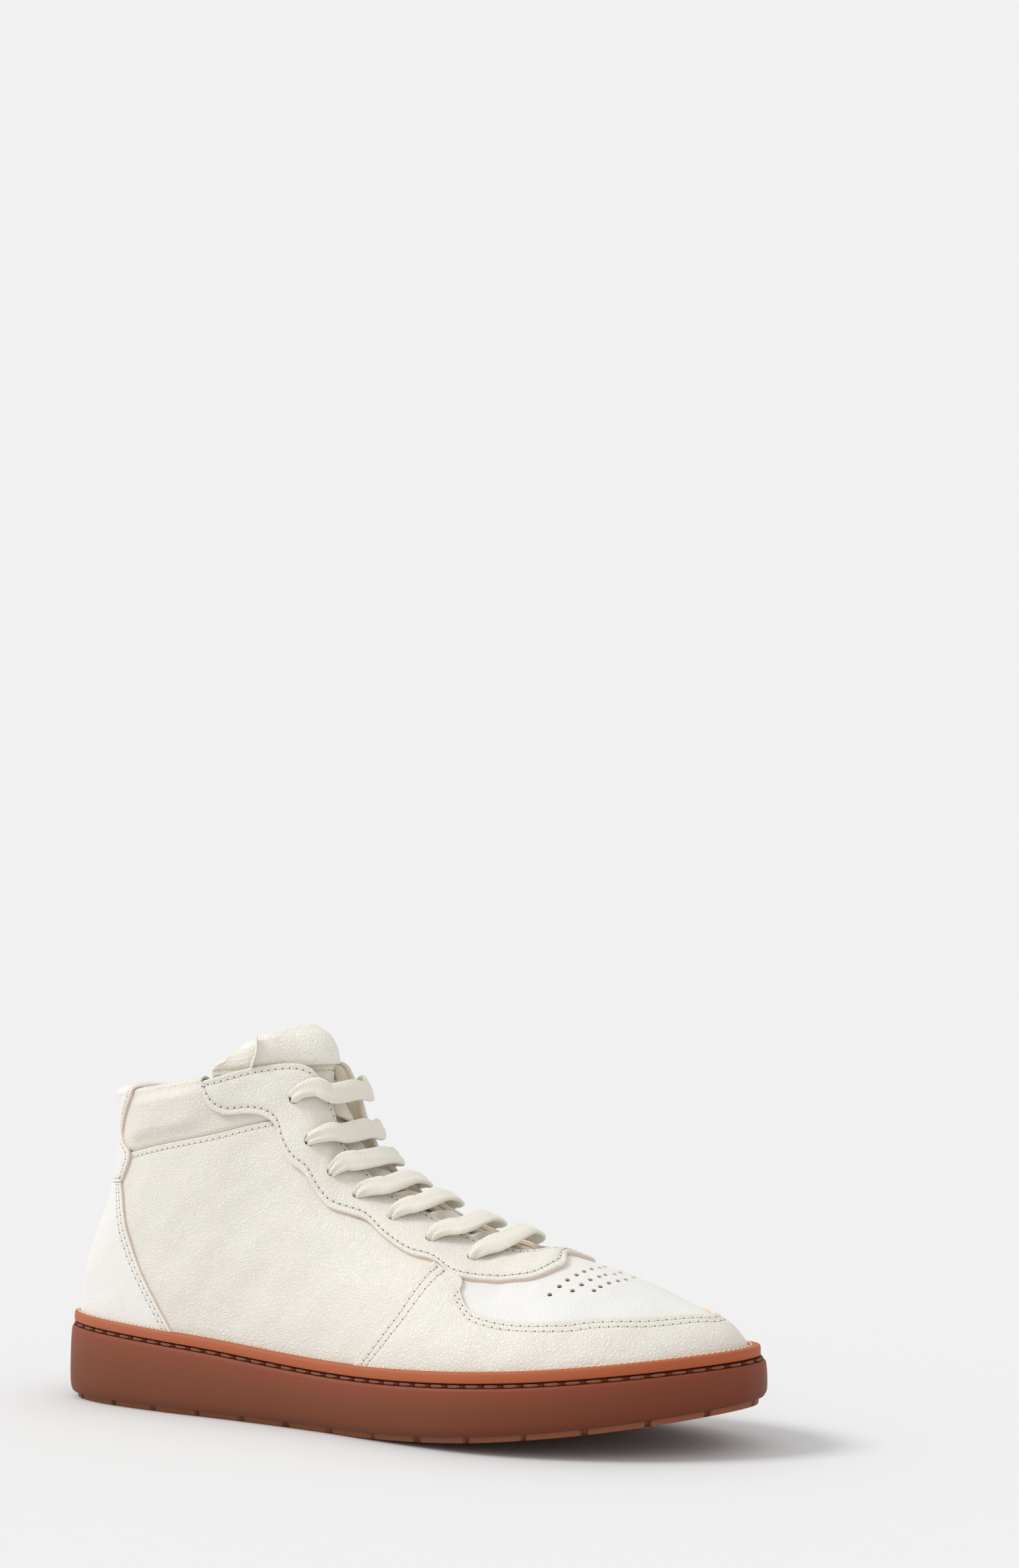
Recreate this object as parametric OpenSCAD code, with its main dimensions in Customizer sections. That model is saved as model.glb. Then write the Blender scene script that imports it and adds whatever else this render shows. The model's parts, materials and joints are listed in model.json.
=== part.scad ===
// Mid-cut basketball shoe, right foot, men's EU 43: leather upper on a stitched rubber cupsole.
// Millimetres. X runs from heel to toe, +Y is the inner (medial) side, Z is up. The origin is on the
// ground, in the middle of the shoe's outline.

/* [Sole] */
// Length of the sole, heel to toe
sole_length = 300; // [280:1:320]
// Width of the sole at the ball of the foot
ball_width = 104; // [96:0.5:112]
// Height of the welt above the ground at the heel
heel_height = 34.7; // [30:0.1:40]
// Height of the welt above the ground at the waist
waist_height = 26; // [22:0.1:32]
// Height of the welt above the ground at the toe tip
toe_height = 36.9; // [32:0.1:42]
// Lift of the sole off the ground at the toe tip
toe_spring = 16.5; // [8:0.5:20]
// Height of the welt strip
welt_height = 3.8; // [3:0.1:6]
// Height of the groove that holds the sidewall stitches
groove_height = 1.4; // [1:0.1:2.5]
// Distance between sidewall stitches
stitch_pitch = 7.5; // [5:0.5:10]
// Thickness of the tread layer
tread_thickness = 2.2; // [1.5:0.1:3]

/* [Upper] */
// Height of the collar at the back of the heel
collar_height = 121; // [112:0.5:130]
// Height of the lacing flaps at the top
flap_height = 133.4; // [125:0.5:142]
// Thickness of the outer leather
leather = 1.3; // [1:0.1:1.8]
// Thickness of the lining
lining = 1; // [0.8:0.1:1.5]
// Swell of the padded collar
collar_swell = 1.8; // [0:0.1:3]

/* [Tongue and lace] */
// Height of the tongue above the ground
tongue_height = 149.5; // [140:0.5:158]
// Thickness of the padding in the tongue top
tongue_padding = 4.5; // [3:0.1:6]
// Diameter of the punched eyelets
eyelet_diameter = 4.6; // [4:0.1:5.5]
// Width of the flat lace
lace_width = 8.5; // [6:0.5:10]
// Thickness of the flat lace
lace_thickness = 1.9; // [1.4:0.1:2.4]

/* [Hidden] */
gap = 0.3;
inner_gap = 0.55;
step = 0.003;
length_scale = sole_length / 300;
width_scale = ball_width / 104;
// the shoe is built from the heel's centre line and then moved to the middle of its own outline
side_middle = 1.654 * width_scale;
// depths of the layers, measured from the outer face of the base panels
overlay_out = gap + leather;
base_in = -leather;
stiff_out = base_in - inner_gap;
stiff_in = stiff_out - 1;
lining_out = stiff_in - inner_gap;
lining_in = lining_out - lining;

// ---- smooth curves through rows of [parameter, value] ----
function row_at(rows, u, i = 0) = (i >= len(rows) - 2 || u < rows[i + 1][0]) ? i : row_at(rows, u, i + 1);
function row_slope(rows, i) = let (a = max(0, i - 1), b = min(len(rows) - 1, i + 1))
    (rows[b][1] - rows[a][1]) / (rows[b][0] - rows[a][0]);
function smooth(rows, u) = let (i = row_at(rows, u), h = rows[i + 1][0] - rows[i][0],
    s = (u - rows[i][0]) / h, m = row_slope(rows, i) * h, n = row_slope(rows, i + 1) * h)
    rows[i][1] * (2*s*s*s - 3*s*s + 1) + m * (s*s*s - 2*s*s + s)
    + rows[i + 1][1] * (3*s*s - 2*s*s*s) + n * (s*s*s - s*s);
function straight(rows, u) = let (i = row_at(rows, u), s = (u - rows[i][0]) / (rows[i + 1][0] - rows[i][0]))
    rows[i][1] * (1 - s) + rows[i + 1][1] * s;
function chords(pts, i = 0, sum = 0) = i >= len(pts) - 1 ? [sum] :
    concat([sum], chords(pts, i + 1, sum + norm(pts[i + 1] - pts[i])));
function by_length(pts) = let (c = chords(pts), n = len(pts) - 1) [for (i = [0:n]) [c[i] / c[n], pts[i]]];
function even(rows) = let (n = len(rows) - 1) [for (i = [0:n]) [i / n, rows[i]]];
function unit(v) = v / max(0.000001, norm(v));
function steps(n) = [for (i = [0:n]) i / n];

// ---- sole outline, from the heel to the toe tip on each side ----
lateral_edge = by_length([[0, 0], [2.2, -16], [10, -28.5], [28, -36], [60, -39.8], [100, -41], [140, -44.2],
    [180, -51], [210, -54], [235, -50.8], [258, -42.8], [276, -32], [290, -18], [298, -5], [300, 6]]);
medial_edge = by_length([[0, 0], [2.2, 14.5], [10, 27], [28, 36.5], [60, 38.8], [100, 38], [140, 40],
    [180, 46], [210, 50.2], [235, 50], [258, 45.5], [276, 38.4], [290, 27.5], [298, 15.5], [300, 6]]);
// rows continue past the heel and the toe with the other side's points, so the two sides meet smoothly
function joined(own, other) = let (n = len(other) - 1) concat([[-other[1][0], other[1][1]]], own,
    [[2 - other[n - 1][0], other[n - 1][1]]]);
function across(row) = [row[0], [row[1][0], -row[1][1], row[1][2]]];
function mirrored(own) = joined(own, [for (row = own) across(row)]);
sole_lateral = joined(lateral_edge, medial_edge);
sole_medial = joined(medial_edge, lateral_edge);
welt_rows = [[0, heel_height], [75, heel_height * 0.3 + waist_height * 0.77], [150, waist_height],
    [225, waist_height * 0.7 + toe_height * 0.3], [300, toe_height]];
spring_start = 142;
function sole_edge(side, u) = let (p = smooth(side < 0 ? sole_lateral : sole_medial, u))
    [p[0] * length_scale, p[1] * width_scale];
function inward(side, u) = let (
    d = unit(sole_edge(side, min(1, u + 0.004)) - sole_edge(side, max(0, u - 0.004))),
    e = u <= 0 ? [0, side] : u >= 1 ? [0, -side] : d) [e[1] * side, -e[0] * side];
function welt_top(x) = smooth(welt_rows, x / length_scale);
function ground_lift(x) = let (f = (x / length_scale - spring_start) / (300 - spring_start))
    toe_spring * pow(max(0, f), 1.8);
function inset_edge(side, u, d) = sole_edge(side, u) + inward(side, u) * d;

// ---- the last: ribs from the welt to the collar, the throat edge and the toe ridge ----
upper_inset = [[0, 5.2], [0.15, 5.2], [0.3, 5], [0.5, 5.2], [0.6, 6.2], [0.85, 7.5], [1, 8]];
ridge_start = 0.84;
top_rail = mirrored([[0, [18.5, 0, collar_height]], [0.06, [22, 14, collar_height]],
    [0.14, [38.5, 25.5, collar_height + 1]], [0.27, [75, 28.5, collar_height + 6.5]],
    [0.35, [98, 19.5, flap_height]], [0.41, [115, 12, flap_height - 0.5]],
    [0.46, [122.5, 9.2, flap_height - 14]], [0.52, [129, 8.8, 103.5]], [0.6, [148, 8.8, 87]],
    [0.68, [171, 8.8, 76.8]], [0.75, [195, 8.6, 68]], [0.8, [211, 5.5, 65.8]],
    [ridge_start, [219, 0, 66.6]], [0.92, [242, 0, 60]], [1, [264, 0, 53.4]]]);
top_pull = mirrored([[0, [13, 0, -52]], [0.14, [2, 3, -45]], [0.27, [6, 2, -40]], [0.35, [6, 6, -38]],
    [0.46, [4, 12, -26]], [0.6, [10, 17, -16]], [0.75, [6, 19, -12]], [ridge_start, [4, 16, -1.2]],
    [1, [15, 0, -4.5]]]);
low_pull = mirrored([[0, [-4, 0, 42]], [0.14, [0, 1, 34]], [0.35, [0, 2, 30]], [0.6, [0, 2, 22]],
    [ridge_start, [0, 2, 15]], [1, [2, 0, 14]]]);
cup_depth = 6;
function centre_y(x) = 5 * pow(max(0, x - 150) / 150, 1.5);
function rib(side, u, t) = let (
    e = inset_edge(side, u, smooth(upper_inset, u)),
    a = [e[0], e[1], welt_top(e[0]) - cup_depth],
    r = smooth(top_rail, u),
    d = [r[0] * length_scale, r[1] * side * width_scale + centre_y(r[0]), r[2]],
    p = smooth(low_pull, u), q = smooth(top_pull, u),
    b = a + [p[0], p[1] * side, p[2]], c = d + [q[0], q[1] * side, q[2]], s = 1 - t)
    a * s*s*s + 3 * b * s*s*t + 3 * c * s*t*t + d * t*t*t;
function last(side, u, t) = u > 1 ? rib(-side, 2 - u, t) : u < 0 ? rib(-side, -u, t) : rib(side, u, t);
function skin(side0, u, t, d) = let (
    side = (u >= 0.9999 || u <= 0.0001 || (t >= 0.9999 && u >= ridge_start)) ? 1 : side0,
    m = u > 0.98 ? min(t, 0.985) : t, t0 = max(0, m - step), t1 = min(1, m + step),
    n = unit(cross(last(side, u + step, m) - last(side, u - step, m), last(side, u, t1) - last(side, u, t0))))
    last(side, u, t) + n * (side < 0 ? d : -d);
function toe_skin(q, t, d) = skin(q < 0 ? -1 : 1, 1 - abs(q), t, d);
function heel_skin(q, t, d) = skin(q < 0 ? -1 : 1, abs(q), t, d);

// ---- closed solids from grids of points ----
function grid_faces(n, m, k, flip) = [for (i = [0:n - 2]) for (j = [0:m - 2])
    let (a = k + i * m + j, b = a + 1, c = a + m + 1, d = a + m)
    each (flip ? [[a, c, b], [a, d, c]] : [[a, b, c], [a, c, d]])];
function strip_faces(a, b, flip) = [for (i = [0:len(a) - 2])
    each (flip ? [[a[i], a[i + 1], b[i + 1]], [a[i], b[i + 1], b[i]]]
        : [[a[i], b[i + 1], a[i + 1]], [a[i], b[i], b[i + 1]]])];
// walls: [first row, last row, first column, how many steps of the last column]
function sheet_faces(n, m, k, flip, walls) = let (o = n * m) concat(
    grid_faces(n, m, k, flip),
    grid_faces(n, m, k + o, !flip),
    walls[0] ? strip_faces([for (j = [0:m - 1]) k + j], [for (j = [0:m - 1]) k + o + j], flip) : [],
    walls[1] ? strip_faces([for (j = [0:m - 1]) k + (n - 1) * m + j],
        [for (j = [0:m - 1]) k + o + (n - 1) * m + j], !flip) : [],
    walls[2] ? strip_faces([for (i = [0:n - 1]) k + i * m], [for (i = [0:n - 1]) k + o + i * m], !flip) : [],
    walls[3] > 0 ? strip_faces([for (i = [0:walls[3]]) k + i * m + m - 1],
        [for (i = [0:walls[3]]) k + o + i * m + m - 1], flip) : []);
module centred() {
    translate([-sole_length / 2, side_middle, 0])
        children();
}
function flat(grid) = [for (row = grid) each row];
function total(v, i = 0, s = 0) = i >= len(v) ? s : total(v, i + 1, s + v[i]);
function signed_size(pts, faces) = let (c = pts[0])
    total([for (f = faces) (pts[f[0]] - c) * cross(pts[f[1]] - c, pts[f[2]] - c)]);
module closed(pts, faces) {
    inside_out = signed_size(pts, faces) > 0;
    polyhedron(pts, inside_out ? [for (f = faces) [f[2], f[1], f[0]]] : faces, convexity = 10);
}
module sheet(outer, inner) {
    closed(concat(flat(outer), flat(inner)),
        sheet_faces(len(outer), len(outer[0]), 0, false, [true, true, true, len(outer) - 1]));
}
// two half sheets, lateral and medial, that share the rows or columns without a wall
module paired_sheet(a, b, c, d, walls) {
    n = len(a);
    m = len(a[0]);
    closed(concat(flat(a), flat(b), flat(c), flat(d)),
        concat(sheet_faces(n, m, 0, false, walls), sheet_faces(n, m, 2 * n * m, true, walls)));
}

// ---- rings around the sole: lateral heel to toe, then medial toe to heel ----
ring_steps = 38;
function ring_u(i) = let (s = i / ring_steps) 0.5 - 0.5 * cos(180 * s) * 0.35 - 0.5 * 0.65 * (1 - 2 * s);
function ring_point(side, u, d, height) = let (p = inset_edge(side, u, d(u))) [p[0], p[1], height(p[0])];
function sole_ring(d, height) = concat(
    [for (i = [0:ring_steps]) ring_point(-1, ring_u(i), d, height)],
    [for (i = [ring_steps - 1:-1:1]) ring_point(1, ring_u(i), d, height)]);
function by(d) = function(u) d;
function below_welt(h) = function(x) welt_top(x) - h;
function above_ground(h) = function(x) ground_lift(x) + h;
function hoop_faces(rings, n) = [for (r = [0:rings - 2]) for (i = [0:n - 1])
    let (j = (i + 1) % n, a = r * n + i, b = r * n + j, c = a + n, d = b + n) each [[a, b, d], [a, d, c]]];
function cap_faces(k, n, flip) = let (h = n / 2) [for (i = [0:h - 1])
    let (a = k + i, b = k + i + 1, c = k + (n - i) % n, d = k + n - i - 1)
    each concat(i == 0 ? [] : [flip ? [a, b, c] : [a, c, b]],
        i == h - 1 ? [] : [flip ? [b, d, c] : [b, c, d]])];
// stacked rings closed by a cap at each end
module capped_rings(rings) {
    n = len(rings[0]);
    closed(flat(rings), concat(hoop_faces(len(rings), n), cap_faces(0, n, false),
        cap_faces((len(rings) - 1) * n, n, true)));
}
// a closed hoop: the last ring joins the first
module ring_hoop(rings) {
    n = len(rings[0]);
    closed(flat(concat(rings, [rings[0]])), hoop_faces(len(rings) + 1, n));
}

// ---- sole ----
groove_top = welt_height + gap;
groove_floor = groove_top + groove_height;
groove_depth = 2.3;
cup_floor = 14;
welt_clearance = 0.45;
board_under = 8.2;
// where the upper meets the welt: 1 with an overlay on it, 0 on the bare quarter
overlay_at_welt = [[0, 1], [0.29, 1], [0.31, 0], [0.462, 0], [0.482, 1], [1, 1]];
function welt_edge(u) = straight([[0, 1.4], [0.7, 1.5], [1, 2.4]], u);
function cup_inside(u) = smooth(upper_inset, u) - welt_clearance - overlay_out * straight(overlay_at_welt, u);
cup_edge = function(u) cup_inside(u);
welt_face = function(u) welt_edge(u);
module outsole_tread() {
    notch_pitch = 0.068;
    color("saddlebrown") centred() difference() {
        capped_rings([
            sole_ring(by(4), above_ground(0)),
            sole_ring(by(3.3), above_ground(0.4)),
            sole_ring(by(3), above_ground(tread_thickness - gap))]);
        for (side = [-1, 1]) for (u = [0.12:notch_pitch:0.96]) {
            p = inset_edge(side, u, 5);
            n = inward(side, u);
            translate([p[0], p[1], ground_lift(p[0])])
                rotate([0, 0, atan2(n[1], n[0])])
                    cube([9, 2.2, 2.4], center = true);
        }
    }
}
module cupsole() {
    color("sienna") centred() capped_rings([
        sole_ring(by(6), above_ground(tread_thickness)),
        sole_ring(by(2.4), above_ground(tread_thickness)),
        sole_ring(by(0.9), above_ground(tread_thickness + 0.8)),
        sole_ring(by(0.2), above_ground(tread_thickness + 2.6)),
        sole_ring(by(0), function(x) ground_lift(x) * 0.6 + welt_top(x) * 0.4),
        sole_ring(by(0.4), below_welt(groove_floor + 1.4)),
        sole_ring(by(1), below_welt(groove_floor)),
        sole_ring(by(groove_depth + 0.4), below_welt(groove_floor)),
        sole_ring(by(groove_depth + 0.4), below_welt(groove_top)),
        sole_ring(cup_edge, below_welt(groove_top)),
        sole_ring(cup_edge, below_welt(cup_floor)),
        sole_ring(by(14), below_welt(cup_floor))]);
}
module welt_strip() {
    color("peru") centred() ring_hoop([
        sole_ring(function(u) welt_edge(u) + 0.5, below_welt(welt_height)),
        sole_ring(welt_face, below_welt(welt_height - 0.5)),
        sole_ring(welt_face, below_welt(0.5)),
        sole_ring(function(u) welt_edge(u) + 0.6, below_welt(0)),
        sole_ring(cup_edge, below_welt(0)),
        sole_ring(cup_edge, below_welt(welt_height))]);
}
module sidewall_stitching() {
    thread = 0.55;
    side_length = 362 * length_scale;
    count = round(side_length / stitch_pitch);
    color("darkolivegreen") centred() for (side = [-1, 1]) for (i = [0:count - 1]) {
        a = (i + 0.14) / count;
        b = (i + 0.86) / count;
        pts = [for (u = [a, b]) let (p = inset_edge(side, u, groove_depth - 0.8))
            [p[0], p[1], welt_top(p[0]) - (groove_top + groove_floor) / 2]];
        n = inward(side, (a + b) / 2);
        corners = [for (q = [0:3]) thread * [n[0] * cos(90 * q), n[1] * cos(90 * q), sin(90 * q)]];
        closed([for (k = [0, 1]) for (c = corners) pts[k] + c],
            concat(hoop_faces(2, 4), [[0, 2, 1], [0, 3, 2], [4, 5, 6], [4, 6, 7]]));
    }
}
module midsole_foam() {
    color("wheat") centred() capped_rings([
        sole_ring(function(u) cup_inside(u) + 0.4, below_welt(cup_floor - gap)),
        sole_ring(function(u) cup_inside(u) + 0.4, below_welt(board_under))]);
}
module insole_board() {
    color("burlywood") centred() capped_rings([
        sole_ring(function(u) cup_inside(u) + 0.4, below_welt(board_under - gap)),
        sole_ring(function(u) cup_inside(u) + 0.4, below_welt(cup_depth + 0.6))]);
}
footbed_gap = -lining_in + 0.6;
footbed_room = [[0, 0.3], [0.55, 0.4], [0.8, 2.4], [1, 3]];
footbed_edge = function(u) smooth(upper_inset, u) + footbed_gap + straight(footbed_room, u);
module footbed_foam() {
    color("khaki") centred() capped_rings([
        sole_ring(footbed_edge, below_welt(cup_depth)),
        sole_ring(footbed_edge, below_welt(2.3))]);
}
module footbed_cover() {
    color("cornsilk") centred() capped_rings([
        sole_ring(footbed_edge, below_welt(2.1)),
        sole_ring(footbed_edge, below_welt(1.1))]);
}

// ---- panel outlines on the last, as [u, t]: u runs heel to toe, t runs welt to top ----
collar_seam = [[0.1, 0.8], [0.144, 0.805], [0.21, 0.815], [0.32, 0.815], [0.39, 0.82]];
eyestay_rows = even([
    [0.273, 0.985, 0.2735], [0.2735, 0.955, 0.28], [0.283, 0.905, 0.294], [0.302, 0.868, 0.312],
    [0.33, 0.852, 0.338], [0.354, 0.83, 0.362], [0.371, 0.79, 0.382], [0.382, 0.72, 0.404],
    [0.4, 0.663, 0.425], [0.428, 0.645, 0.448], [0.455, 0.63, 0.468], [0.482, 0.632, 0.492],
    [0.508, 0.66, 0.517], [0.54, 0.7, 0.545], [0.568, 0.728, 0.57], [0.594, 0.7, 0.597],
    [0.637, 0.675, 0.635], [0.672, 0.692, 0.666], [0.703, 0.651, 0.698], [0.735, 0.685, 0.722],
    [0.768, 0.713, 0.748], [0.802, 0.71, 0.775], [0.832, 0.722, 0.8],
    [0.85, 0.8, 0.82], [0.857, 1, ridge_start]]);
seam_a = [[0, 0.513], [0.065, 0.523], [0.22, 0.562], [0.425, 0.615], [0.695, 0.675], [0.76, 0.69]];
heel_panel_edge = [[0, 0.27], [0.08, 0.252], [0.24, 0.213], [0.35, 0.188], [0.49, 0.163], [0.68, 0.131]];
tab_edge = [[0.69, 0.13], [0.745, 0.14], [0.805, 0.143], [0.85, 0.118], [0.885, 0.106], [0.94, 0.115],
    [1, 0.138]];
eyelets = [[0.394, 0.875], [0.427, 0.76], [0.492, 0.78], [0.556, 0.825], [0.617, 0.845], [0.677, 0.835],
    [0.733, 0.84]];
function fade(a, b, x) = let (s = min(1, max(0, (x - a) / (b - a)))) s * s * (3 - 2 * s);
// padded collar: it tucks under the quarter at the seam and swells above it
function collar_lift(u, t) = let (k = smooth([for (p = collar_seam) p], u))
    -(leather + 2.5 * gap) * (1 - fade(k + 0.008, k + 0.05, t))
    + collar_swell * fade(k + 0.01, k + 0.08, t) * (1 - fade(0.96, 1, t))
    * fade(0.125, 0.17, u) * (1 - fade(0.22, 0.265, u));
back_seam = 0.012;
module base_quarter(side) {
    under = 0.014;
    rows = steps(26);
    cols = steps(8);
    function spot(s, r, d) = let (
        w = 0.6 * s + 0.4 * s * s, top_u = back_seam + w * (0.69 - back_seam),
        top_t = top_u < 0.30 ? smooth(collar_seam, max(0.1, top_u)) : straight([[0.3, 0.815], [0.36, 0.815],
            [0.385, 0.75], [0.41, 0.7], [0.455, 0.67], [0.49, 0.68], [0.568, 0.76], [0.6, 0.745],
            [0.64, 0.725], [0.69, 0.74]], top_u),
        t = r * top_t,
        u0 = back_seam,
        u1 = smooth(seam_a, t) + under)
        skin(side, u0 + w * (u1 - u0), t, d);
    sheet([for (s = rows) [for (r = cols) spot(s, r, 0)]],
        [for (s = rows) [for (r = cols) spot(s, r, base_in)]]);
}
module quarter_lateral() {
    color("ivory") centred() base_quarter(-1);
}
module quarter_medial() {
    color("ivory") centred() base_quarter(1);
}
// ---- outer panels ----
module heel_panel() {
    rows = steps(20);
    cols = steps(6);
    // the outer face draws in at the foot, where the panel tucks inside the lip
    function spot(s, r, d, foot) = let (t = r * 0.68)
        heel_skin((2 * s - 1) * smooth(heel_panel_edge, t), t, d - foot * (1 - fade(0.09, 0.16, t)));
    color("linen") centred() sheet([for (s = rows) [for (r = cols) spot(s, r, overlay_out + 0.36, 0.26)]],
        [for (s = rows) [for (r = cols) spot(s, r, gap + 0.5, 0)]]);
}
// the collar leather rolls over the top edge around the padding
roll_radius = 3.6;
function roll(q, angle, radius) = heel_skin(q, 1, -roll_radius + radius * cos(angle))
    + [0, 0, radius * sin(angle) * 0.6];
module heel_tab() {
    rows = steps(12);
    heights = [0.695, 0.745, 0.805, 0.85, 0.885, 0.94, 1];
    angles = [45, 90, 135, 180];
    function row(s, depth) = concat(
        [for (t = heights) heel_skin((2 * s - 1) * smooth(tab_edge, t), t, depth)],
        [for (a = angles) roll((2 * s - 1) * smooth(tab_edge, 1), a, roll_radius + depth)]);
    color("linen") centred() sheet([for (s = rows) row(s, overlay_out + gap)],
        [for (s = rows) row(s, 2 * gap)]);
}
collar_panel_end = [[0.78, 0.378], [0.822, 0.378], [0.83, 0.37], [0.852, 0.345], [0.868, 0.32],
    [0.905, 0.298], [0.955, 0.284], [1, 0.268]];
module collar_panel(side) {
    rows = steps(14);
    heights = [-0.03, 0.008, 0.03, 0.06, 0.1, 0.145];
    angles = [0, 45, 90, 135, 180];
    function along(s, t) = back_seam + (straight(collar_panel_end, t) - back_seam) * s;
    function spot(s, h, depth) = let (t = 0.81 + h, u = along(s, t),
        k = h + smooth(collar_seam, max(0.1, u)))
        skin(side, u, k, collar_lift(u, k) + depth);
    function row(s, depth) = concat([for (h = heights) spot(s, h, depth)],
        [for (a = angles) roll(side * along(s, 1), a, roll_radius + depth)]);
    color("antiquewhite") centred() sheet([for (s = rows) row(s, 0)], [for (s = rows) row(s, base_in)]);
}
module collar_panel_lateral() {
    collar_panel(-1);
}
module collar_panel_medial() {
    collar_panel(1);
}
module eyelet_cutters(first, last_one, deep, extra = 0) {
    for (side = [-1, 1]) for (i = [first:last_one]) {
        e = eyelets[i];
        a = skin(side, e[0], e[1], overlay_out);
        n = unit(a - skin(side, e[0], e[1], 0));
        translate(a - n * deep)
            rotate([0, acos(n[2]), atan2(n[1], n[0])])
                cylinder(d = eyelet_diameter + extra, h = deep + 3, $fn = 10);
    }
}
function eyestay_spot(side, k, r, d) = let (e = smooth(eyestay_rows, k))
    skin(side, e[0] + (e[2] - e[0]) * r, min(1, e[1] + (1 - e[1]) * r), d);
module eyestay() {
    n = 44;
    cols = steps(3);
    rows = [for (i = [0:n]) i / n];
    color("floralwhite") centred() difference() {
        paired_sheet([for (k = rows) [for (r = cols) eyestay_spot(-1, k, r, overlay_out)]],
            [for (k = rows) [for (r = cols) eyestay_spot(-1, k, r, gap)]],
            [for (k = rows) [for (r = cols) eyestay_spot(1, k, r, overlay_out)]],
            [for (k = rows) [for (r = cols) eyestay_spot(1, k, r, gap)]],
            [true, false, true, n]);
        eyelet_cutters(0, 6, 3);
    }
}
module eyestay_backing() {
    rows = steps(16);
    cols = [0, 1];
    function spot(side, s, r, d) = let (u = 0.33 + 0.43 * s,
        low = straight([[0.33, 0.9], [0.386, 0.885], [0.41, 0.74], [0.5, 0.7], [0.57, 0.77],
            [0.76, 0.77]], u))
        skin(side, u, low + (0.985 - low) * r, d);
    color("lightgray") centred() difference() {
        for (side = [-1, 1])
            sheet([for (s = rows) [for (r = cols) spot(side, s, r, stiff_out)]],
                [for (s = rows) [for (r = cols) spot(side, s, r, stiff_in)]]);
        eyelet_cutters(0, 6, 6, 0.4);
    }
}
vamp_rows = even([[0.69, 0.62, 0.712, 0.68], [0.682, 0.52, 0.735, 0.715], [0.672, 0.42, 0.765, 0.755],
    [0.68, 0.34, 0.8, 0.815], [0.72, 0.3, 0.835, 0.9], [0.77, 0.287, 0.864, 1], [0.83, 0.275, 0.885, 1],
    [0.89, 0.293, 0.92, 1], [0.94, 0.36, 0.955, 1], [1, 0.475, 1, 1]]);
vamp_ridge_row = 5;
module vamp() {
    parts = 2;
    n = parts * (len(vamp_rows) - 1);
    rows = [for (i = [0:n]) i / n];
    cols = steps(5);
    function spot(side, k, r, d) = let (e = smooth(vamp_rows, k), c = k >= vamp_ridge_row / 9 - 0.001,
        t1 = c ? 1 : min(1, e[3]))
        skin(side, min(1, e[0] + (e[2] - e[0]) * r), e[1] + (t1 - e[1]) * r, d);
    color("white") centred() paired_sheet([for (k = rows) [for (r = cols) spot(-1, k, r, 0)]],
        [for (k = rows) [for (r = cols) spot(-1, k, r, base_in)]],
        [for (k = rows) [for (r = cols) spot(1, k, r, 0)]],
        [for (k = rows) [for (r = cols) spot(1, k, r, base_in)]],
        [true, false, true, parts * vamp_ridge_row]);
}
mudguard_rows = even([[0.499, 0, 0.668, 0.668], [0.545, 0, 0.705, 0.628], [0.582, 0, 0.7, 0.565],
    [0.614, 0, 0.699, 0.5], [0.645, 0, 0.704, 0.45], [0.68, 0, 0.722, 0.429], [0.725, 0, 0.748, 0.423],
    [0.77, 0, 0.78, 0.411], [0.81, 0, 0.813, 0.397], [0.85, 0, 0.848, 0.39], [0.89, 0, 0.886, 0.402],
    [0.93, 0, 0.926, 0.45], [0.965, 0, 0.965, 0.525], [1, 0, 1, 0.585]]);
module mudguard() {
    parts = 2;
    n = parts * (len(mudguard_rows) - 1);
    cols = [0, 0.14, 0.3, 0.47, 0.64, 0.82, 1];
    function spot(side, k, r, d) = let (e = smooth(mudguard_rows, k), u = e[0] + (e[2] - e[0]) * r,
        t = e[1] + (e[3] - e[1]) * r) skin(side, min(1, u), t, d);
    function rows(d) = concat([for (i = [0:n]) [for (r = cols) spot(-1, i / n, r, d)]],
        [for (i = [n - 1:-1:0]) [for (r = cols) spot(1, i / n, r, d)]]);
    color("whitesmoke") centred() sheet(rows(overlay_out), rows(gap));
}

// ---- stiffeners, padding and lining ----
module toe_puff() {
    rows = steps(18);
    cols = [0.06, 0.22, 0.38, 0.54, 0.7];
    function spot(s, t, d) = toe_skin((2 * s - 1) * 0.17 * (1 - 0.4 * pow(t / 0.7, 2)), t, d);
    color("gray") centred() sheet([for (s = rows) [for (t = cols) spot(s, t, stiff_out - 0.4)]],
        [for (s = rows) [for (t = cols) spot(s, t, stiff_in - 0.2)]]);
}
module heel_counter() {
    rows = steps(16);
    cols = [0.03, 0.2, 0.35, 0.48, 0.6];
    function spot(s, t, d) = heel_skin((2 * s - 1) * 0.23 * (1 - 0.35 * pow(t / 0.6, 2)), t, d);
    color("gray") centred() sheet([for (s = rows) [for (t = cols) spot(s, t, stiff_out)]],
        [for (s = rows) [for (t = cols) spot(s, t, stiff_in)]]);
}
collar_room = 3.4;
function lining_depth(u, t) = lining_out - collar_room * fade(0.7, 0.84, t) * (1 - fade(0.262, 0.3, u))
    - 0.15 * (1 - fade(0.1, 0.2, u)) - 0.8 * fade(0.8, 0.95, u)
    - 0.55 * fade(0.68, 0.78, t) * fade(0.2, 0.28, u) * (1 - fade(0.42, 0.455, u));
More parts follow.
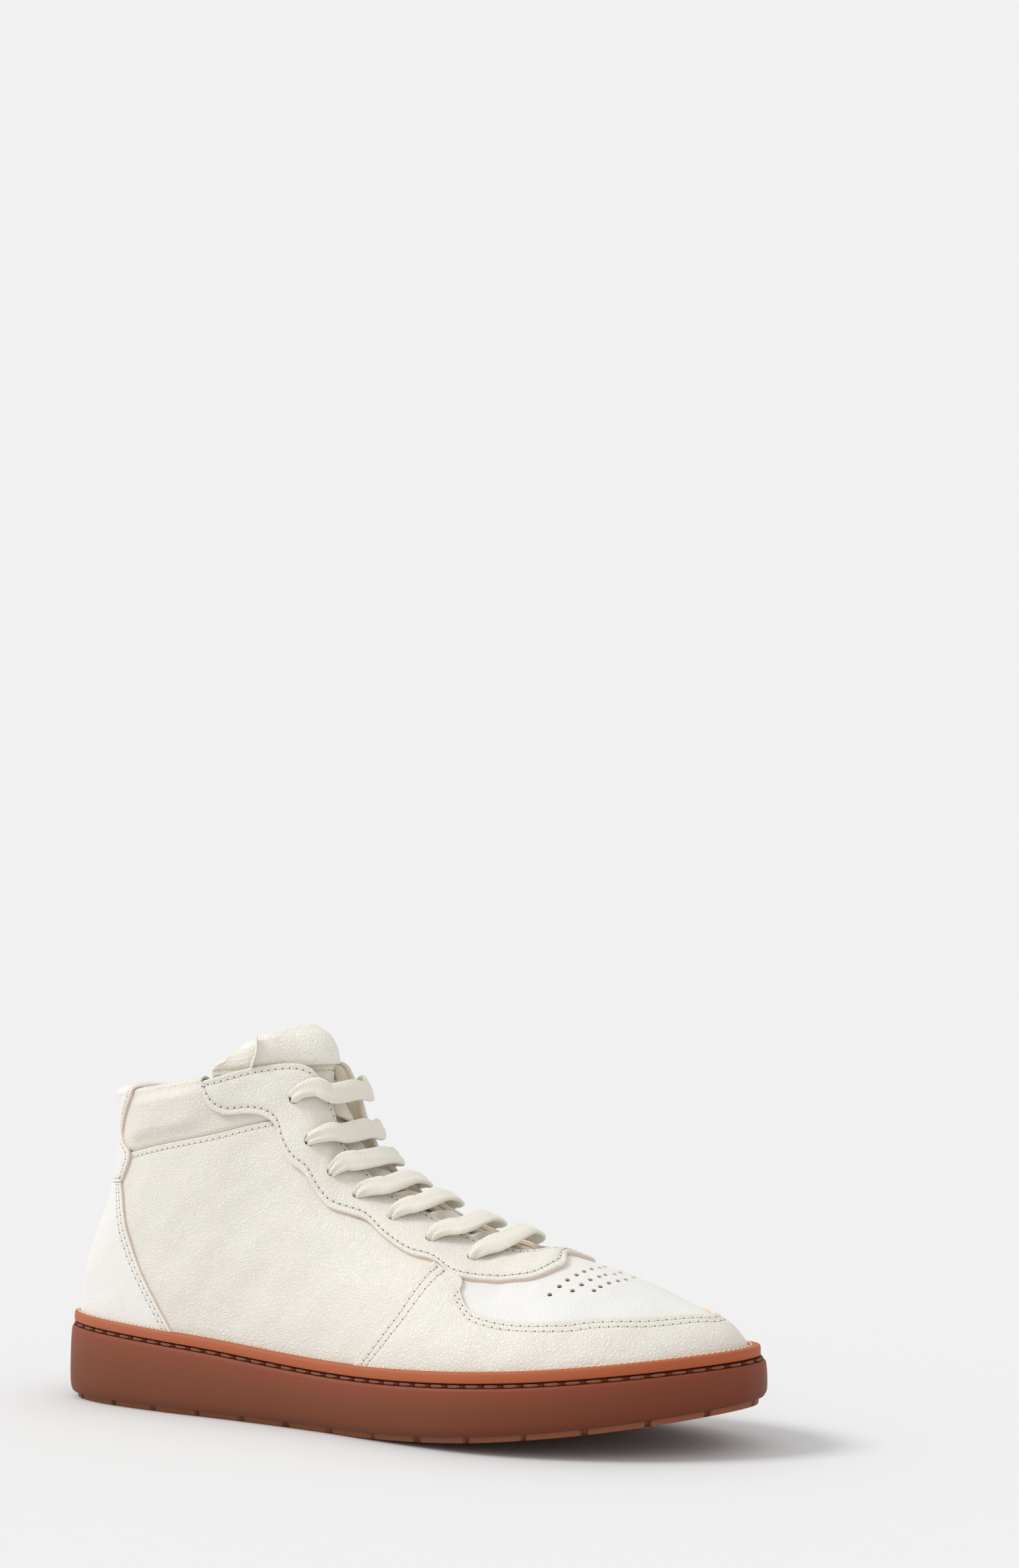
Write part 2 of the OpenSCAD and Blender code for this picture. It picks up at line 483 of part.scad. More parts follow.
module collar_foam() {
    rows = steps(18);
    cols = [0.86, 0.9, 0.94, 0.985];
    function spot(s, t, inner) = let (q = (2 * s - 1) * 0.255, u = abs(q))
        heel_skin(q, t, inner ? lining_depth(u, t) + inner_gap : collar_lift(u, t) - leather - inner_gap);
    color("lightyellow") centred() sheet([for (s = rows) [for (t = cols) spot(s, t, false)]],
        [for (s = rows) [for (t = cols) spot(s, t, true)]]);
}
lining_join = 0.46;
module quarter_lining() {
    rows = steps(36);
    cols = [0, 0.25, 0.5, 0.73, 0.8, 0.88, 1];
    function spot(s, r, inner) = let (m = 2 * s - 1,
        q = (lining_join - 0.003) * (0.9 * m + 0.1 * m * m * m), u = abs(q),
        t = r * (0.955 + 0.03 * fade(0.25, 0.28, u)))
        heel_skin(q, t, lining_depth(u, t) - (inner ? lining : 0));
    color("cornsilk") centred() difference() {
        sheet([for (s = rows) [for (r = cols) spot(s, r, false)]],
            [for (s = rows) [for (r = cols) spot(s, r, true)]]);
        eyelet_cutters(0, 1, 8, 1);
    }
}
module vamp_lining() {
    before = 15;
    after = 8;
    us = concat([for (i = [0:before - 1]) lining_join + (ridge_start - lining_join) * i / before],
        [for (i = [0:after]) 1 - (1 - ridge_start) * pow(1 - i / after, 1.4)]);
    cols = steps(5);
    function spot(side, u, r, d) = let (t = r * (u >= ridge_start - 0.0001 ? 1 : 0.985))
        skin(side, u, t, lining_depth(u, t) + d);
    color("cornsilk") centred() difference() {
        paired_sheet([for (u = us) [for (r = cols) spot(-1, u, r, 0)]],
            [for (u = us) [for (r = cols) spot(-1, u, r, -lining)]],
            [for (u = us) [for (r = cols) spot(1, u, r, 0)]],
            [for (u = us) [for (r = cols) spot(1, u, r, -lining)]],
            [true, false, true, before]);
        eyelet_cutters(2, 6, 8, 0.8);
    }
}
module heel_grip() {
    rows = steps(12);
    cols = [0.2, 0.36, 0.52, 0.66];
    function spot(s, t, d) = heel_skin((2 * s - 1) * 0.15, t, d);
    color("tan") centred() sheet([for (s = rows) [for (t = cols) spot(s, t, lining_in - inner_gap - 0.4)]],
        [for (s = rows) [for (t = cols) spot(s, t, lining_in - inner_gap - 1.2)]]);
}

// ---- tongue: five control points across, edge to edge, at each station from the vamp to the tip ----
tongue_depth = lining_in - 4.6;
tongue_crown = 2;
fold = 0.865;
function throat_row(u, edge_u, edge_t) = let (
    a = skin(-1, u, 0.97, tongue_depth), b = skin(1, u, 0.97, tongue_depth),
    n = unit(skin(-1, u, 0.97, 0) - a + skin(1, u, 0.97, 0) - b))
    [skin(-1, edge_u, edge_t, tongue_depth), a, (a + b) / 2 + n * tongue_crown, b,
        skin(1, edge_u, edge_t, tongue_depth)];
function top_row(edge, mid, centre) = [[edge[0], -edge[1], edge[2]], [mid[0], -mid[1], mid[2]],
    centre, mid, edge];
tongue_rows = [[0, throat_row(0.8, 0.79, 0.86)], [0.13, throat_row(0.75, 0.74, 0.79)],
    [0.27, throat_row(0.68, 0.68, 0.76)], [0.41, throat_row(0.6, 0.6, 0.73)],
    [0.55, throat_row(0.52, 0.51, 0.66)], [0.68, throat_row(0.455, 0.43, 0.64)],
    [0.78, throat_row(0.425, 0.355, 0.72)],
    [fold, top_row([75, 21.4, 128], [100, 13.7, 131], [118, 0, 131.5])],
    [0.93, top_row([80, 21, 135.5], [100.5, 13.5, 140.5], [114.5, 0, 141.5])],
    [1, top_row([85.5, 18, tongue_height - 8.3], [97, 11, tongue_height - 2.2], [105, 0, tongue_height])]];
across_knots = [-1, -0.42, 0, 0.42, 1];
function tongue_face(s, r) = let (row = smooth(tongue_rows, s))
    smooth([for (i = [0:4]) [across_knots[i], row[i]]], r);
function tongue_skin(s, r, d) = let (e = 0.01, s0 = max(0, s - e), s1 = min(1, s + e),
    n = unit(cross(tongue_face(s, min(1, r + e)) - tongue_face(s, max(-1, r - e)),
        tongue_face(s1, r) - tongue_face(s0, r))))
    tongue_face(s, r) + n * d;
module tongue_sheet(s0, s1, n, m, outer, inner) {
    sheet([for (i = [0:n]) [for (j = [0:m]) let (s = s0 + (s1 - s0) * i / n, r = -1 + 2 * j / m)
            tongue_skin(s, r, outer(s, r))]],
        [for (i = [0:n]) [for (j = [0:m]) let (s = s0 + (s1 - s0) * i / n, r = -1 + 2 * j / m)
            tongue_skin(s, r, inner(s, r))]]);
}
function padding(s, r) = let (k = (s - fold) / (1 - fold))
    0.4 + tongue_padding * fade(0, 0.35, 1 - abs(r)) * fade(0, 0.4, 1 - k) * fade(0, 0.25, k);
module tongue_panel() {
    color("ivory") centred() tongue_sheet(0, fold - 0.008, 16, 10, function(s, r) 0, function(s, r) -leather);
}
module tongue_lining() {
    color("cornsilk") centred() tongue_sheet(0, fold - 0.008, 16, 10, function(s, r) -leather - 0.4,
        function(s, r) -leather - 0.4 - lining);
}
module tongue_top() {
    color("ivory") centred() tongue_sheet(fold + 0.004, 1, 7, 14, function(s, r) 0, function(s, r) -leather);
}
module tongue_top_foam() {
    color("lightyellow") centred() tongue_sheet(fold + 0.02, 0.985, 6, 12, function(s, r) -leather - gap,
        function(s, r) -leather - gap - padding(s, r) * 0.85);
}
module tongue_top_lining() {
    color("cornsilk") centred() tongue_sheet(fold + 0.004, 1, 7, 14,
        function(s, r) -leather - 2 * gap - padding(s, r),
        function(s, r) -leather - 2 * gap - padding(s, r) - lining);
}
// the free edge of the band curls away from the tongue towards the outer side of the foot
band_free = -0.62;
band_fixed = 0.34;
module tongue_pull_band() {
    rows = steps(8);
    cols = steps(12);
    function spot(i, j, d) = let (s = 0.9 + 0.094 * i, r = band_fixed + (band_free - band_fixed) * j)
        tongue_skin(s, r, d + 5.5 * pow(fade(0.45, 1, j), 1.5));
    color("antiquewhite") centred() sheet([for (i = rows) [for (j = cols) spot(i, j, gap + 1.2)]],
        [for (i = rows) [for (j = cols) spot(i, j, gap)]]);
}
module lace_keeper() {
    rows = steps(5);
    cols = steps(6);
    function spot(i, j, d) = tongue_skin(0.72 + 0.07 * i, -0.3 + 0.6 * j, d);
    color("antiquewhite") centred() sheet([for (i = rows) [for (j = cols) spot(i, j, 1.6)]],
        [for (i = rows) [for (j = cols) spot(i, j, 0.65)]]);
}

// ---- lace: straight bars on top, diagonals under them, ends tucked inside the shoe ----
under_lining = lining_in - 1 - lace_thickness / 2;
// where each lace bar crosses the throat edge
throat_u = [0.455, 0.512, 0.562, 0.612, 0.665, 0.722, 0.775];
hole_size = eyelet_diameter - 1.4;
function hole(side, i, d) = skin(side, eyelets[i][0], eyelets[i][1], d);
function shelf(side, i, f, d) = skin(side, eyelets[i][0] + (throat_u[i] - eyelets[i][0]) * f,
    eyelets[i][1] + (1 - eyelets[i][1]) * f, d);
function up_throat(side, i) = unit(hole(side, max(0, i - 1), 0) - hole(side, min(6, i + 1), 0));
function outward(side, i) = unit(hole(side, i, 1) - hole(side, i, 0));
function middle(i, j, d, rise) = (shelf(1, i, 1, d) + shelf(-1, j, 1, d)) / 2
    + unit(outward(1, i) + outward(-1, j)) * rise;
function through(side, i) = let (v = up_throat(side, i)) [
    [shelf(side, i, 0.4, under_lining - 0.3), v, 5, lace_thickness],
    [shelf(side, i, 0.1, under_lining + 0.2), v, hole_size, 2.4],
    [hole(side, i, lining_in + 1), v, hole_size, hole_size - 0.2],
    [hole(side, i, 0), v, hole_size, hole_size - 0.2],
    [shelf(side, i, 0.02, overlay_out + 1), v, hole_size, hole_size - 0.2],
    [shelf(side, i, 0.22, overlay_out + 1.9), v, 5.4, 2.3],
    [shelf(side, i, 0.5, overlay_out + 1.8), v, lace_width * 0.9, lace_thickness],
    [shelf(side, i, 0.9, overlay_out + 2), v, lace_width, lace_thickness]];
function reversed(v) = [for (i = [len(v) - 1:-1:0]) v[i]];
function bar(i) = concat(through(-1, i),
    [[middle(i, i, overlay_out + 2, 1.2), up_throat(1, i), lace_width, lace_thickness]],
    reversed(through(1, i)));
function diagonal(i) = let (v = up_throat(1, i)) [
    [shelf(1, i, 0.85, under_lining - 0.6), v, lace_width * 0.8, lace_thickness],
    [middle(i, i - 1, tongue_depth, tongue_crown + 2.6), v, lace_width * 0.8, lace_thickness],
    [shelf(-1, i - 1, 0.85, under_lining - 0.6), v, lace_width * 0.8, lace_thickness]];
long_strand = [[0.335, 0.5], [0.345, 0.57], [0.37, 0.63], [0.42, 0.66], [0.47, 0.675], [0.52, 0.71],
    [0.57, 0.74], [0.62, 0.755], [0.68, 0.75], [0.72, 0.775]];
short_end = [[0.365, 0.78], [0.35, 0.69], [0.338, 0.6], [0.335, 0.53], [0.335, 0.5]];
function tail(side, p, q, w) = let (e = under_lining - 2.5 * fade(0.66, 0.55, p[1]),
    a = skin(side, p[0], p[1], e), b = skin(side, q[0], q[1], e),
    c = skin(side, p[0], p[1], 1) - skin(side, p[0], p[1], 0)) [a, unit(cross(b - a, c)), w, lace_thickness];
lace_path = concat(
    [for (i = [0:len(long_strand) - 2])
        tail(-1, long_strand[i], long_strand[i + 1], i == 0 ? 1.9 : i == 1 ? 3.5 : 5)],
    [for (i = [6:-1:0]) each concat(bar(i), i > 0 ? diagonal(i) : [])],
    [for (i = [1:len(short_end) - 1])
        tail(1, short_end[i], short_end[i - 1], i == len(short_end) - 1 ? 1.9 : 4.5)]);
lace_sides = 6;
function lace_ring(c, across, up, w, h) = [for (q = [0:lace_sides - 1]) let (a = 60 * q)
    c + across * (w / 2) * cos(a) + up * (h / 2) * sin(a) / sin(60)];
module shoelace() {
    n = len(lace_path);
    rings = [for (i = [0:n - 1]) let (p = lace_path[i],
        t = unit(lace_path[min(n - 1, i + 1)][0] - lace_path[max(0, i - 1)][0]),
        a = unit(p[1] - t * (p[1] * t)), b = cross(a, t)) lace_ring(p[0], a, b, p[2], p[3])];
    end = (n - 1) * lace_sides;
    color("oldlace") centred() closed(flat(rings), concat(hoop_faces(n, lace_sides),
        [for (j = [1:lace_sides - 2]) [0, j + 1, j]],
        [for (j = [1:lace_sides - 2]) [end, end + j, end + j + 1]]));
}
module lace_tip(a, b) {
    d = unit(b - a);
    translate(b)
        rotate([0, acos(d[2]), atan2(d[1], d[0])])
            cylinder(d = 2.6, h = 16, $fn = 20);
}
module lace_tips() {
    n = len(lace_path);
    a = lace_path[0][0];
    b = lace_path[n - 1][0];
    color("white") centred() {
        lace_tip(lace_path[1][0], a + unit(a - lace_path[1][0]) * 0.2);
        lace_tip(lace_path[n - 2][0], b + unit(b - lace_path[n - 2][0]) * 0.2);
    }
}

outsole_tread();
cupsole();
welt_strip();
sidewall_stitching();
midsole_foam();
insole_board();
footbed_foam();
footbed_cover();
vamp_lining();
quarter_lining();
heel_grip();
toe_puff();
heel_counter();
collar_foam();
vamp();
mudguard();
quarter_lateral();
quarter_medial();
heel_panel();
heel_tab();
collar_panel_lateral();
collar_panel_medial();
eyestay();
eyestay_backing();
tongue_panel();
tongue_lining();
tongue_top();
tongue_top_foam();
tongue_top_lining();
tongue_pull_band();
lace_keeper();
shoelace();
lace_tips();
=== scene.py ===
"""Looks for the mid-cut basketball shoe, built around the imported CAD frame.

Lengths inside the script are in millimetres from the heel's centre line, and become metres in the
CAD frame when a mesh is made.
"""
import json
import math

import bmesh
import bpy
import numpy as np
from mathutils import Vector
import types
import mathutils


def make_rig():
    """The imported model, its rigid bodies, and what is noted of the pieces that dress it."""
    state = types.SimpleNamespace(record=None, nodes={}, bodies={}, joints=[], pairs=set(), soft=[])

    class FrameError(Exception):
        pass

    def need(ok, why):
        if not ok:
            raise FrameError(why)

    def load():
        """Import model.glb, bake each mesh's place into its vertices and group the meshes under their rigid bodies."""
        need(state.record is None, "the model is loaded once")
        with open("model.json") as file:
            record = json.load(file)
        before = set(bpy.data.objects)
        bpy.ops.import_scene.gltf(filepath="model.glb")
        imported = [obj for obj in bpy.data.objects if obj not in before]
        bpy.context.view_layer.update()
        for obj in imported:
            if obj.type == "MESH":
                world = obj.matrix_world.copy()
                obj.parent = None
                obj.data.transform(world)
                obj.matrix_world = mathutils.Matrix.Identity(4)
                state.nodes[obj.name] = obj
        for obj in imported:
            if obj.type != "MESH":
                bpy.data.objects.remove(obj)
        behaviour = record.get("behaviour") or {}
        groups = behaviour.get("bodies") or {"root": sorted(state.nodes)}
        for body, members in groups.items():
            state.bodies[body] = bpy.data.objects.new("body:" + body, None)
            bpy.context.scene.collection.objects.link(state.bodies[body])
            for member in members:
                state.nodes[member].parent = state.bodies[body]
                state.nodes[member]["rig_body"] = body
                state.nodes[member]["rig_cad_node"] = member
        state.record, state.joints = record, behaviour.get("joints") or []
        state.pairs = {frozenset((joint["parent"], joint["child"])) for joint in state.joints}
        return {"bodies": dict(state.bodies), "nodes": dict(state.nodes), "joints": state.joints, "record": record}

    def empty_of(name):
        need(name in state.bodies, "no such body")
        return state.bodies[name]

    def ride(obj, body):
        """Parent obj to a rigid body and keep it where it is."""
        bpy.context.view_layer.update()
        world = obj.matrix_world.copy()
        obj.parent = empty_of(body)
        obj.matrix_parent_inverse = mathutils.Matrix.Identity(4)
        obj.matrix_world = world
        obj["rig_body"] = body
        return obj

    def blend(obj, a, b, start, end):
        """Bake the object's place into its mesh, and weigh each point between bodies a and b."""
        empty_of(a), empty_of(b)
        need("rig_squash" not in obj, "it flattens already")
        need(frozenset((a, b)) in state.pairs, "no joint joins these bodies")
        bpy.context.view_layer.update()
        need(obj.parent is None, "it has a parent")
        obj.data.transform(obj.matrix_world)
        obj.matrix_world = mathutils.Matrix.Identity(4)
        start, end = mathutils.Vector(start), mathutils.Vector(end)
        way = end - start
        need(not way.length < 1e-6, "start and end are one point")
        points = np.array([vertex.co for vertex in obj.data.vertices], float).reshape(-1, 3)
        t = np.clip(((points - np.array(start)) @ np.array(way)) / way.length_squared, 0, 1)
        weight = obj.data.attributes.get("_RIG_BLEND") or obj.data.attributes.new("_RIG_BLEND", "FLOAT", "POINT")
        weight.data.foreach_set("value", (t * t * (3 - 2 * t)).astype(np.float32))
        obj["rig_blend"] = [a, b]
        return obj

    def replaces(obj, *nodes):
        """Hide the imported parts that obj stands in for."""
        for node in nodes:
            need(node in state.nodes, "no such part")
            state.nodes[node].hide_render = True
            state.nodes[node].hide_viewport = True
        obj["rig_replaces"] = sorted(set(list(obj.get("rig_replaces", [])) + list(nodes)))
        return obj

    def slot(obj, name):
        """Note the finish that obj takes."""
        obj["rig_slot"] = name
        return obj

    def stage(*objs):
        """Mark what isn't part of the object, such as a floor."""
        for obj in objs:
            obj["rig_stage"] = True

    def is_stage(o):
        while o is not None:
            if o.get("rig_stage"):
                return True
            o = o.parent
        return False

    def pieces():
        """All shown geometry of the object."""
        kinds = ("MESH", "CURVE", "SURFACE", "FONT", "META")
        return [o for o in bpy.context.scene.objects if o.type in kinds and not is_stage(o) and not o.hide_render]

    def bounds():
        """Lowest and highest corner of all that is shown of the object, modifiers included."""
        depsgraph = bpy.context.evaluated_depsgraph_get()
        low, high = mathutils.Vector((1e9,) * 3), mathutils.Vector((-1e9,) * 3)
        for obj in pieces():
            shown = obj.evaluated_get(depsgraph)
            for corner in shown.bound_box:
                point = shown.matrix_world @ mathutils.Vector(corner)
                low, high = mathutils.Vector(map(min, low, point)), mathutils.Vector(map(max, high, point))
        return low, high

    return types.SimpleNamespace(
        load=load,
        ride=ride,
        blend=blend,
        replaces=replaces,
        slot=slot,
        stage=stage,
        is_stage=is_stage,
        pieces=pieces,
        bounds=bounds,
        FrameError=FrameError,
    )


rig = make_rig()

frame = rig.load()
CAD_BOX = [list(corner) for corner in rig.bounds()]
SHIFT = np.array([-150.0, 1.654, 0.0])  # from the heel's centre line to the CAD frame
MM = 0.001
SOLE_LENGTH = 300

# ---------------------------------------------------------------- design numbers, as in the CAD
LEATHER = 1.3
GAP = 0.3
OVERLAY = GAP + LEATHER
LINING_OUT = -3.4
COLLAR_ROOM = 3.4
COLLAR_SWELL = 1.8
HEEL_Z, WAIST_Z, TOE_Z = 34.7, 26.0, 36.9
TOE_SPRING, SPRING_START = 16.5, 142.0
COLLAR_Z, FLAP_Z, TONGUE_Z = 121.0, 133.4, 149.5
WELT = 3.8
GROOVE_TOP = WELT + 0.3
GROOVE_FLOOR = GROOVE_TOP + 1.4
RIDGE = 0.84
CUP_DEPTH = 6.0


class Curve:
    """A smooth curve through rows of (parameter, value)."""

    def __init__(self, rows):
        self.k = np.array([r[0] for r in rows], float)
        self.v = np.array([np.atleast_1d(r[1]) for r in rows], float)
        n = len(rows)
        a, b = np.maximum(np.arange(n) - 1, 0), np.minimum(np.arange(n) + 1, n - 1)
        self.m = (self.v[b] - self.v[a]) / (self.k[b] - self.k[a])[:, None]

    def __call__(self, u):
        u = np.asarray(u, float)
        i = np.clip(np.searchsorted(self.k, u, side="right") - 1, 0, len(self.k) - 2)
        h = (self.k[i + 1] - self.k[i])[..., None]
        s = (u[..., None] - self.k[i][..., None]) / h
        out = (self.v[i] * (2 * s**3 - 3 * s**2 + 1) + self.m[i] * h * (s**3 - 2 * s**2 + s)
               + self.v[i + 1] * (3 * s**2 - 2 * s**3) + self.m[i + 1] * h * (s**3 - s**2))
        return out[..., 0] if out.shape[-1] == 1 else out


def even(values):
    return Curve([(i / (len(values) - 1), v) for i, v in enumerate(values)])


def run_of(p):
    """The length along a line of points, from its first point to each."""
    return np.r_[0, np.cumsum(np.linalg.norm(np.diff(p, axis=0), axis=1))]


def by_length(pts):
    pts = np.array(pts, float)
    run = run_of(pts)
    return [(k, list(p)) for k, p in zip(run / run[-1], pts)]


def joined(own, other):
    return [(-other[1][0], other[1][1])] + own + [(2 - other[-2][0], other[-2][1])]


def mirrored(rows):
    return joined(rows, [(k, [p[0], -p[1], p[2]]) for k, p in rows])


def fade(a, b, x):
    s = np.clip((x - a) / (b - a), 0, 1)
    return s * s * (3 - 2 * s)


def unit(v):
    return v / np.maximum(1e-9, np.linalg.norm(v, axis=-1, keepdims=True))


# ---------------------------------------------------------------- sole outline and last
LATERAL = by_length([[0, 0], [2.2, -16], [10, -28.5], [28, -36], [60, -39.8], [100, -41], [140, -44.2],
                     [180, -51], [210, -54], [235, -50.8], [258, -42.8], [276, -32], [290, -18],
                     [298, -5], [300, 6]])
MEDIAL = by_length([[0, 0], [2.2, 14.5], [10, 27], [28, 36.5], [60, 38.8], [100, 38], [140, 40],
                    [180, 46], [210, 50.2], [235, 50], [258, 45.5], [276, 38.4], [290, 27.5],
                    [298, 15.5], [300, 6]])
SOLE = {-1: Curve(joined(LATERAL, MEDIAL)), 1: Curve(joined(MEDIAL, LATERAL))}
WELT_TOP = Curve([(0, HEEL_Z), (75, HEEL_Z * 0.3 + WAIST_Z * 0.77), (150, WAIST_Z),
                  (225, WAIST_Z * 0.7 + TOE_Z * 0.3), (300, TOE_Z)])
INSET = Curve([(0, 5.2), (0.15, 5.2), (0.3, 5), (0.5, 5.2), (0.6, 6.2), (0.85, 7.5), (1, 8)])
TOP_RAIL = Curve(mirrored([
    (0, [18.5, 0, COLLAR_Z]), (0.06, [22, 14, COLLAR_Z]), (0.14, [38.5, 25.5, COLLAR_Z + 1]),
    (0.27, [75, 28.5, COLLAR_Z + 6.5]), (0.35, [98, 19.5, FLAP_Z]), (0.41, [115, 12, FLAP_Z - 0.5]),
    (0.46, [122.5, 9.2, FLAP_Z - 14]), (0.52, [129, 8.8, 103.5]), (0.6, [148, 8.8, 87]),
    (0.68, [171, 8.8, 76.8]), (0.75, [195, 8.6, 68]), (0.8, [211, 5.5, 65.8]), (RIDGE, [219, 0, 66.6]),
    (0.92, [242, 0, 60]), (1, [264, 0, 53.4])]))
TOP_PULL = Curve(mirrored([
    (0, [13, 0, -52]), (0.14, [2, 3, -45]), (0.27, [6, 2, -40]), (0.35, [6, 6, -38]),
    (0.46, [4, 12, -26]), (0.6, [10, 17, -16]), (0.75, [6, 19, -12]), (RIDGE, [4, 16, -1.2]),
    (1, [15, 0, -4.5])]))
LOW_PULL = Curve(mirrored([
    (0, [-4, 0, 42]), (0.14, [0, 1, 34]), (0.35, [0, 2, 30]), (0.6, [0, 2, 22]), (RIDGE, [0, 2, 15]),
    (1, [2, 0, 14])]))


def sole_edge(side, u):
    side = np.broadcast_to(side, np.shape(u))
    return np.where((side < 0)[..., None], SOLE[-1](u), SOLE[1](u))


def inward(side, u):
    side = np.broadcast_to(side, np.shape(u))
    d = unit(sole_edge(side, np.minimum(1, u + 0.004)) - sole_edge(side, np.maximum(0, u - 0.004)))
    zero = np.zeros_like(u)
    d = np.where((u <= 0)[..., None], np.stack([zero, zero + side], -1), d)
    d = np.where((u >= 1)[..., None], np.stack([zero, zero - side], -1), d)
    return np.stack([d[..., 1] * side, -d[..., 0] * side], -1)


def inset_edge(side, u, d):
    return sole_edge(side, u) + inward(side, u) * np.asarray(d)[..., None]


def ground(x):
    return TOE_SPRING * np.maximum(0, (x - SPRING_START) / (SOLE_LENGTH - SPRING_START)) ** 1.8


def centre_y(x):
    return 5 * (np.maximum(0, x - 150) / 150) ** 1.5


def rib(side, u, t):
    e = inset_edge(side, u, INSET(u))
    a = np.stack([e[..., 0], e[..., 1], WELT_TOP(e[..., 0]) - CUP_DEPTH], -1)
    r, p, q = TOP_RAIL(u), LOW_PULL(u), TOP_PULL(u)
    flip = np.stack([np.ones_like(u), side, np.ones_like(u)], -1)
    d = r * flip
    d[..., 1] += centre_y(r[..., 0])
    b, c = a + p * flip, d + q * flip
    t = t[..., None]
    s = 1 - t
    return a * s**3 + 3 * b * s * s * t + 3 * c * s * t * t + d * t**3


def last(side, u, t):
    far, near = u > 1, u < 0
    side = np.where(far | near, -side, side)
    return rib(side, np.where(far, 2 - u, np.where(near, -u, u)), t)


WAVES = [(np.array(k), a, f) for k, a, f in (
    ([0.16, 0.05, 0.09], 0.16, 0.4), ([-0.07, 0.12, 0.17], 0.15, 2.1), ([0.11, -0.19, 0.05], 0.12, 4.0),
    ([0.26, 0.03, -0.21], 0.09, 1.2), ([-0.31, 0.12, 0.1], 0.07, 5.3), ([0.06, 0.27, 0.33], 0.06, 3.3),
    ([0.45, 0.2, 0.31], 0.035, 0.9), ([-0.38, 0.29, 0.52], 0.03, 2.7))]


def softness(p, u, t):
    """Slow unevenness of the leather over the foam and the last, in millimetres."""
    out = np.zeros(p.shape[:-1])
    for k, size, phase in WAVES:
        out += size * np.sin(p @ k + phase)
    flex = np.exp(-((p[..., 0] - 205) / 20) ** 2) * fade(0.45, 0.75, t) * fade(0.6, 0.68, u)
    out += flex * 0.16 * np.sin(0.62 * p[..., 0] + 0.22 * p[..., 2] + 0.5 * np.sin(p[..., 1] * 0.18))
    return out * fade(0.02, 0.22, t)


STEP = 0.003


def skin(side, u, t, d):
    side, u, t, d = np.broadcast_arrays(np.asarray(side, float), u, t, d)
    u, t = u.astype(float), np.clip(t, 0, 1).astype(float)
    one = (u >= 0.9999) | (u <= 0.0001) | ((t >= 0.9999) & (u >= RIDGE))
    side = np.where(one, 1.0, side)
    m = np.where(u > 0.98, np.minimum(t, 0.985), t)
    t0, t1 = np.maximum(0, m - STEP), np.minimum(1, m + STEP)
    n = unit(np.cross(last(side, u + STEP, m) - last(side, u - STEP, m),
                      last(side, u, t1) - last(side, u, t0)))
    p = last(side, u, t)
    d = d + softness(p, u, t)
    return p + n * np.where(side < 0, d, -d)[..., None]


def heel_skin(q, t, d):
    return skin(np.where(q < 0, -1, 1), np.abs(q), t, d)


# ---------------------------------------------------------------- mesh building
def grid_faces(n, m, base, wrap):
    i, j = np.arange(n if wrap[0] else n - 1), np.arange(m if wrap[1] else m - 1)
    a, b = np.meshgrid(i, j, indexing="ij")
    a2, b2 = (a + 1) % n, (b + 1) % m
    return base + np.stack([a * m + b, a * m + b2, a2 * m + b2, a2 * m + b], -1).reshape(-1, 4)


class Solid:
    """Gathers grids of points, and the faces between them, into one mesh."""

    def __init__(self):
        self.points, self.faces, self.mats, self.data = [], [], [], {}
        self.count = 0

    def grid(self, p, mat=0, wrap=(False, False), **data):
        n, m = p.shape[:2]
        base = self.count
        self.points.append(p.reshape(-1, 3))
        self.count += n * m
        self.put(grid_faces(n, m, base, wrap), mat)
        for key, value in data.items():
            self.data.setdefault(key, []).append((base, np.broadcast_to(value, (n, m)).ravel()))
        return base + np.arange(n * m).reshape(n, m)

    def put(self, faces, mat):
        self.faces.append(np.asarray(faces))
        self.mats.append(np.full(len(faces), mat))

    def strip(self, a, b, mat=0):
        self.put(np.stack([a[:-1], a[1:], b[1:], b[:-1]], -1), mat)

    def lid(self, e, mat=0):
        """Closes a ring with faces from side to side; its first point is one end."""
        h = len(e) // 2
        self.put([[e[0], e[1], e[-1], e[-1]]] + [[e[k], e[k + 1], e[-k - 1], e[-k]] for k in range(1, h - 1)]
                 + [[e[h - 1], e[h], e[h + 1], e[h + 1]]], mat)

    def make(self, name, materials, body="shoe", merge=0.0, sharp=50, slot=None, stands_for=()):
        me = bpy.data.meshes.new(name)
        pts = (np.concatenate(self.points) + SHIFT) * MM
        faces = np.concatenate(self.faces)
        mats = np.concatenate(self.mats)
        lists = [f[:3] if f[2] == f[3] else f for f in faces.tolist()]
        me.from_pydata(pts.tolist(), [], lists)
        me.polygons.foreach_set("material_index", mats.astype(np.int32))
        for key, parts in self.data.items():
            layer = me.attributes.new(key, "FLOAT", "POINT")
            values = np.zeros(self.count, np.float32)
            for base, v in parts:
                values[base:base + len(v)] = v
            layer.data.foreach_set("value", values)
        bm = bmesh.new()
        bm.from_mesh(me)
        if merge:
            bmesh.ops.remove_doubles(bm, verts=bm.verts, dist=merge * MM)
        bmesh.ops.recalc_face_normals(bm, faces=bm.faces)
        bm.to_mesh(me)
        bm.free()
        me.shade_smooth()
        me.set_sharp_from_angle(angle=math.radians(sharp))
        obj = bpy.data.objects.new(name, me)
        bpy.context.scene.collection.objects.link(obj)
        for m in materials:
            me.materials.append(m)
        if body:
            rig.ride(obj, body)
        if slot:
            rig.slot(obj, slot)
        if stands_for:
            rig.replaces(obj, *stands_for)
        return obj


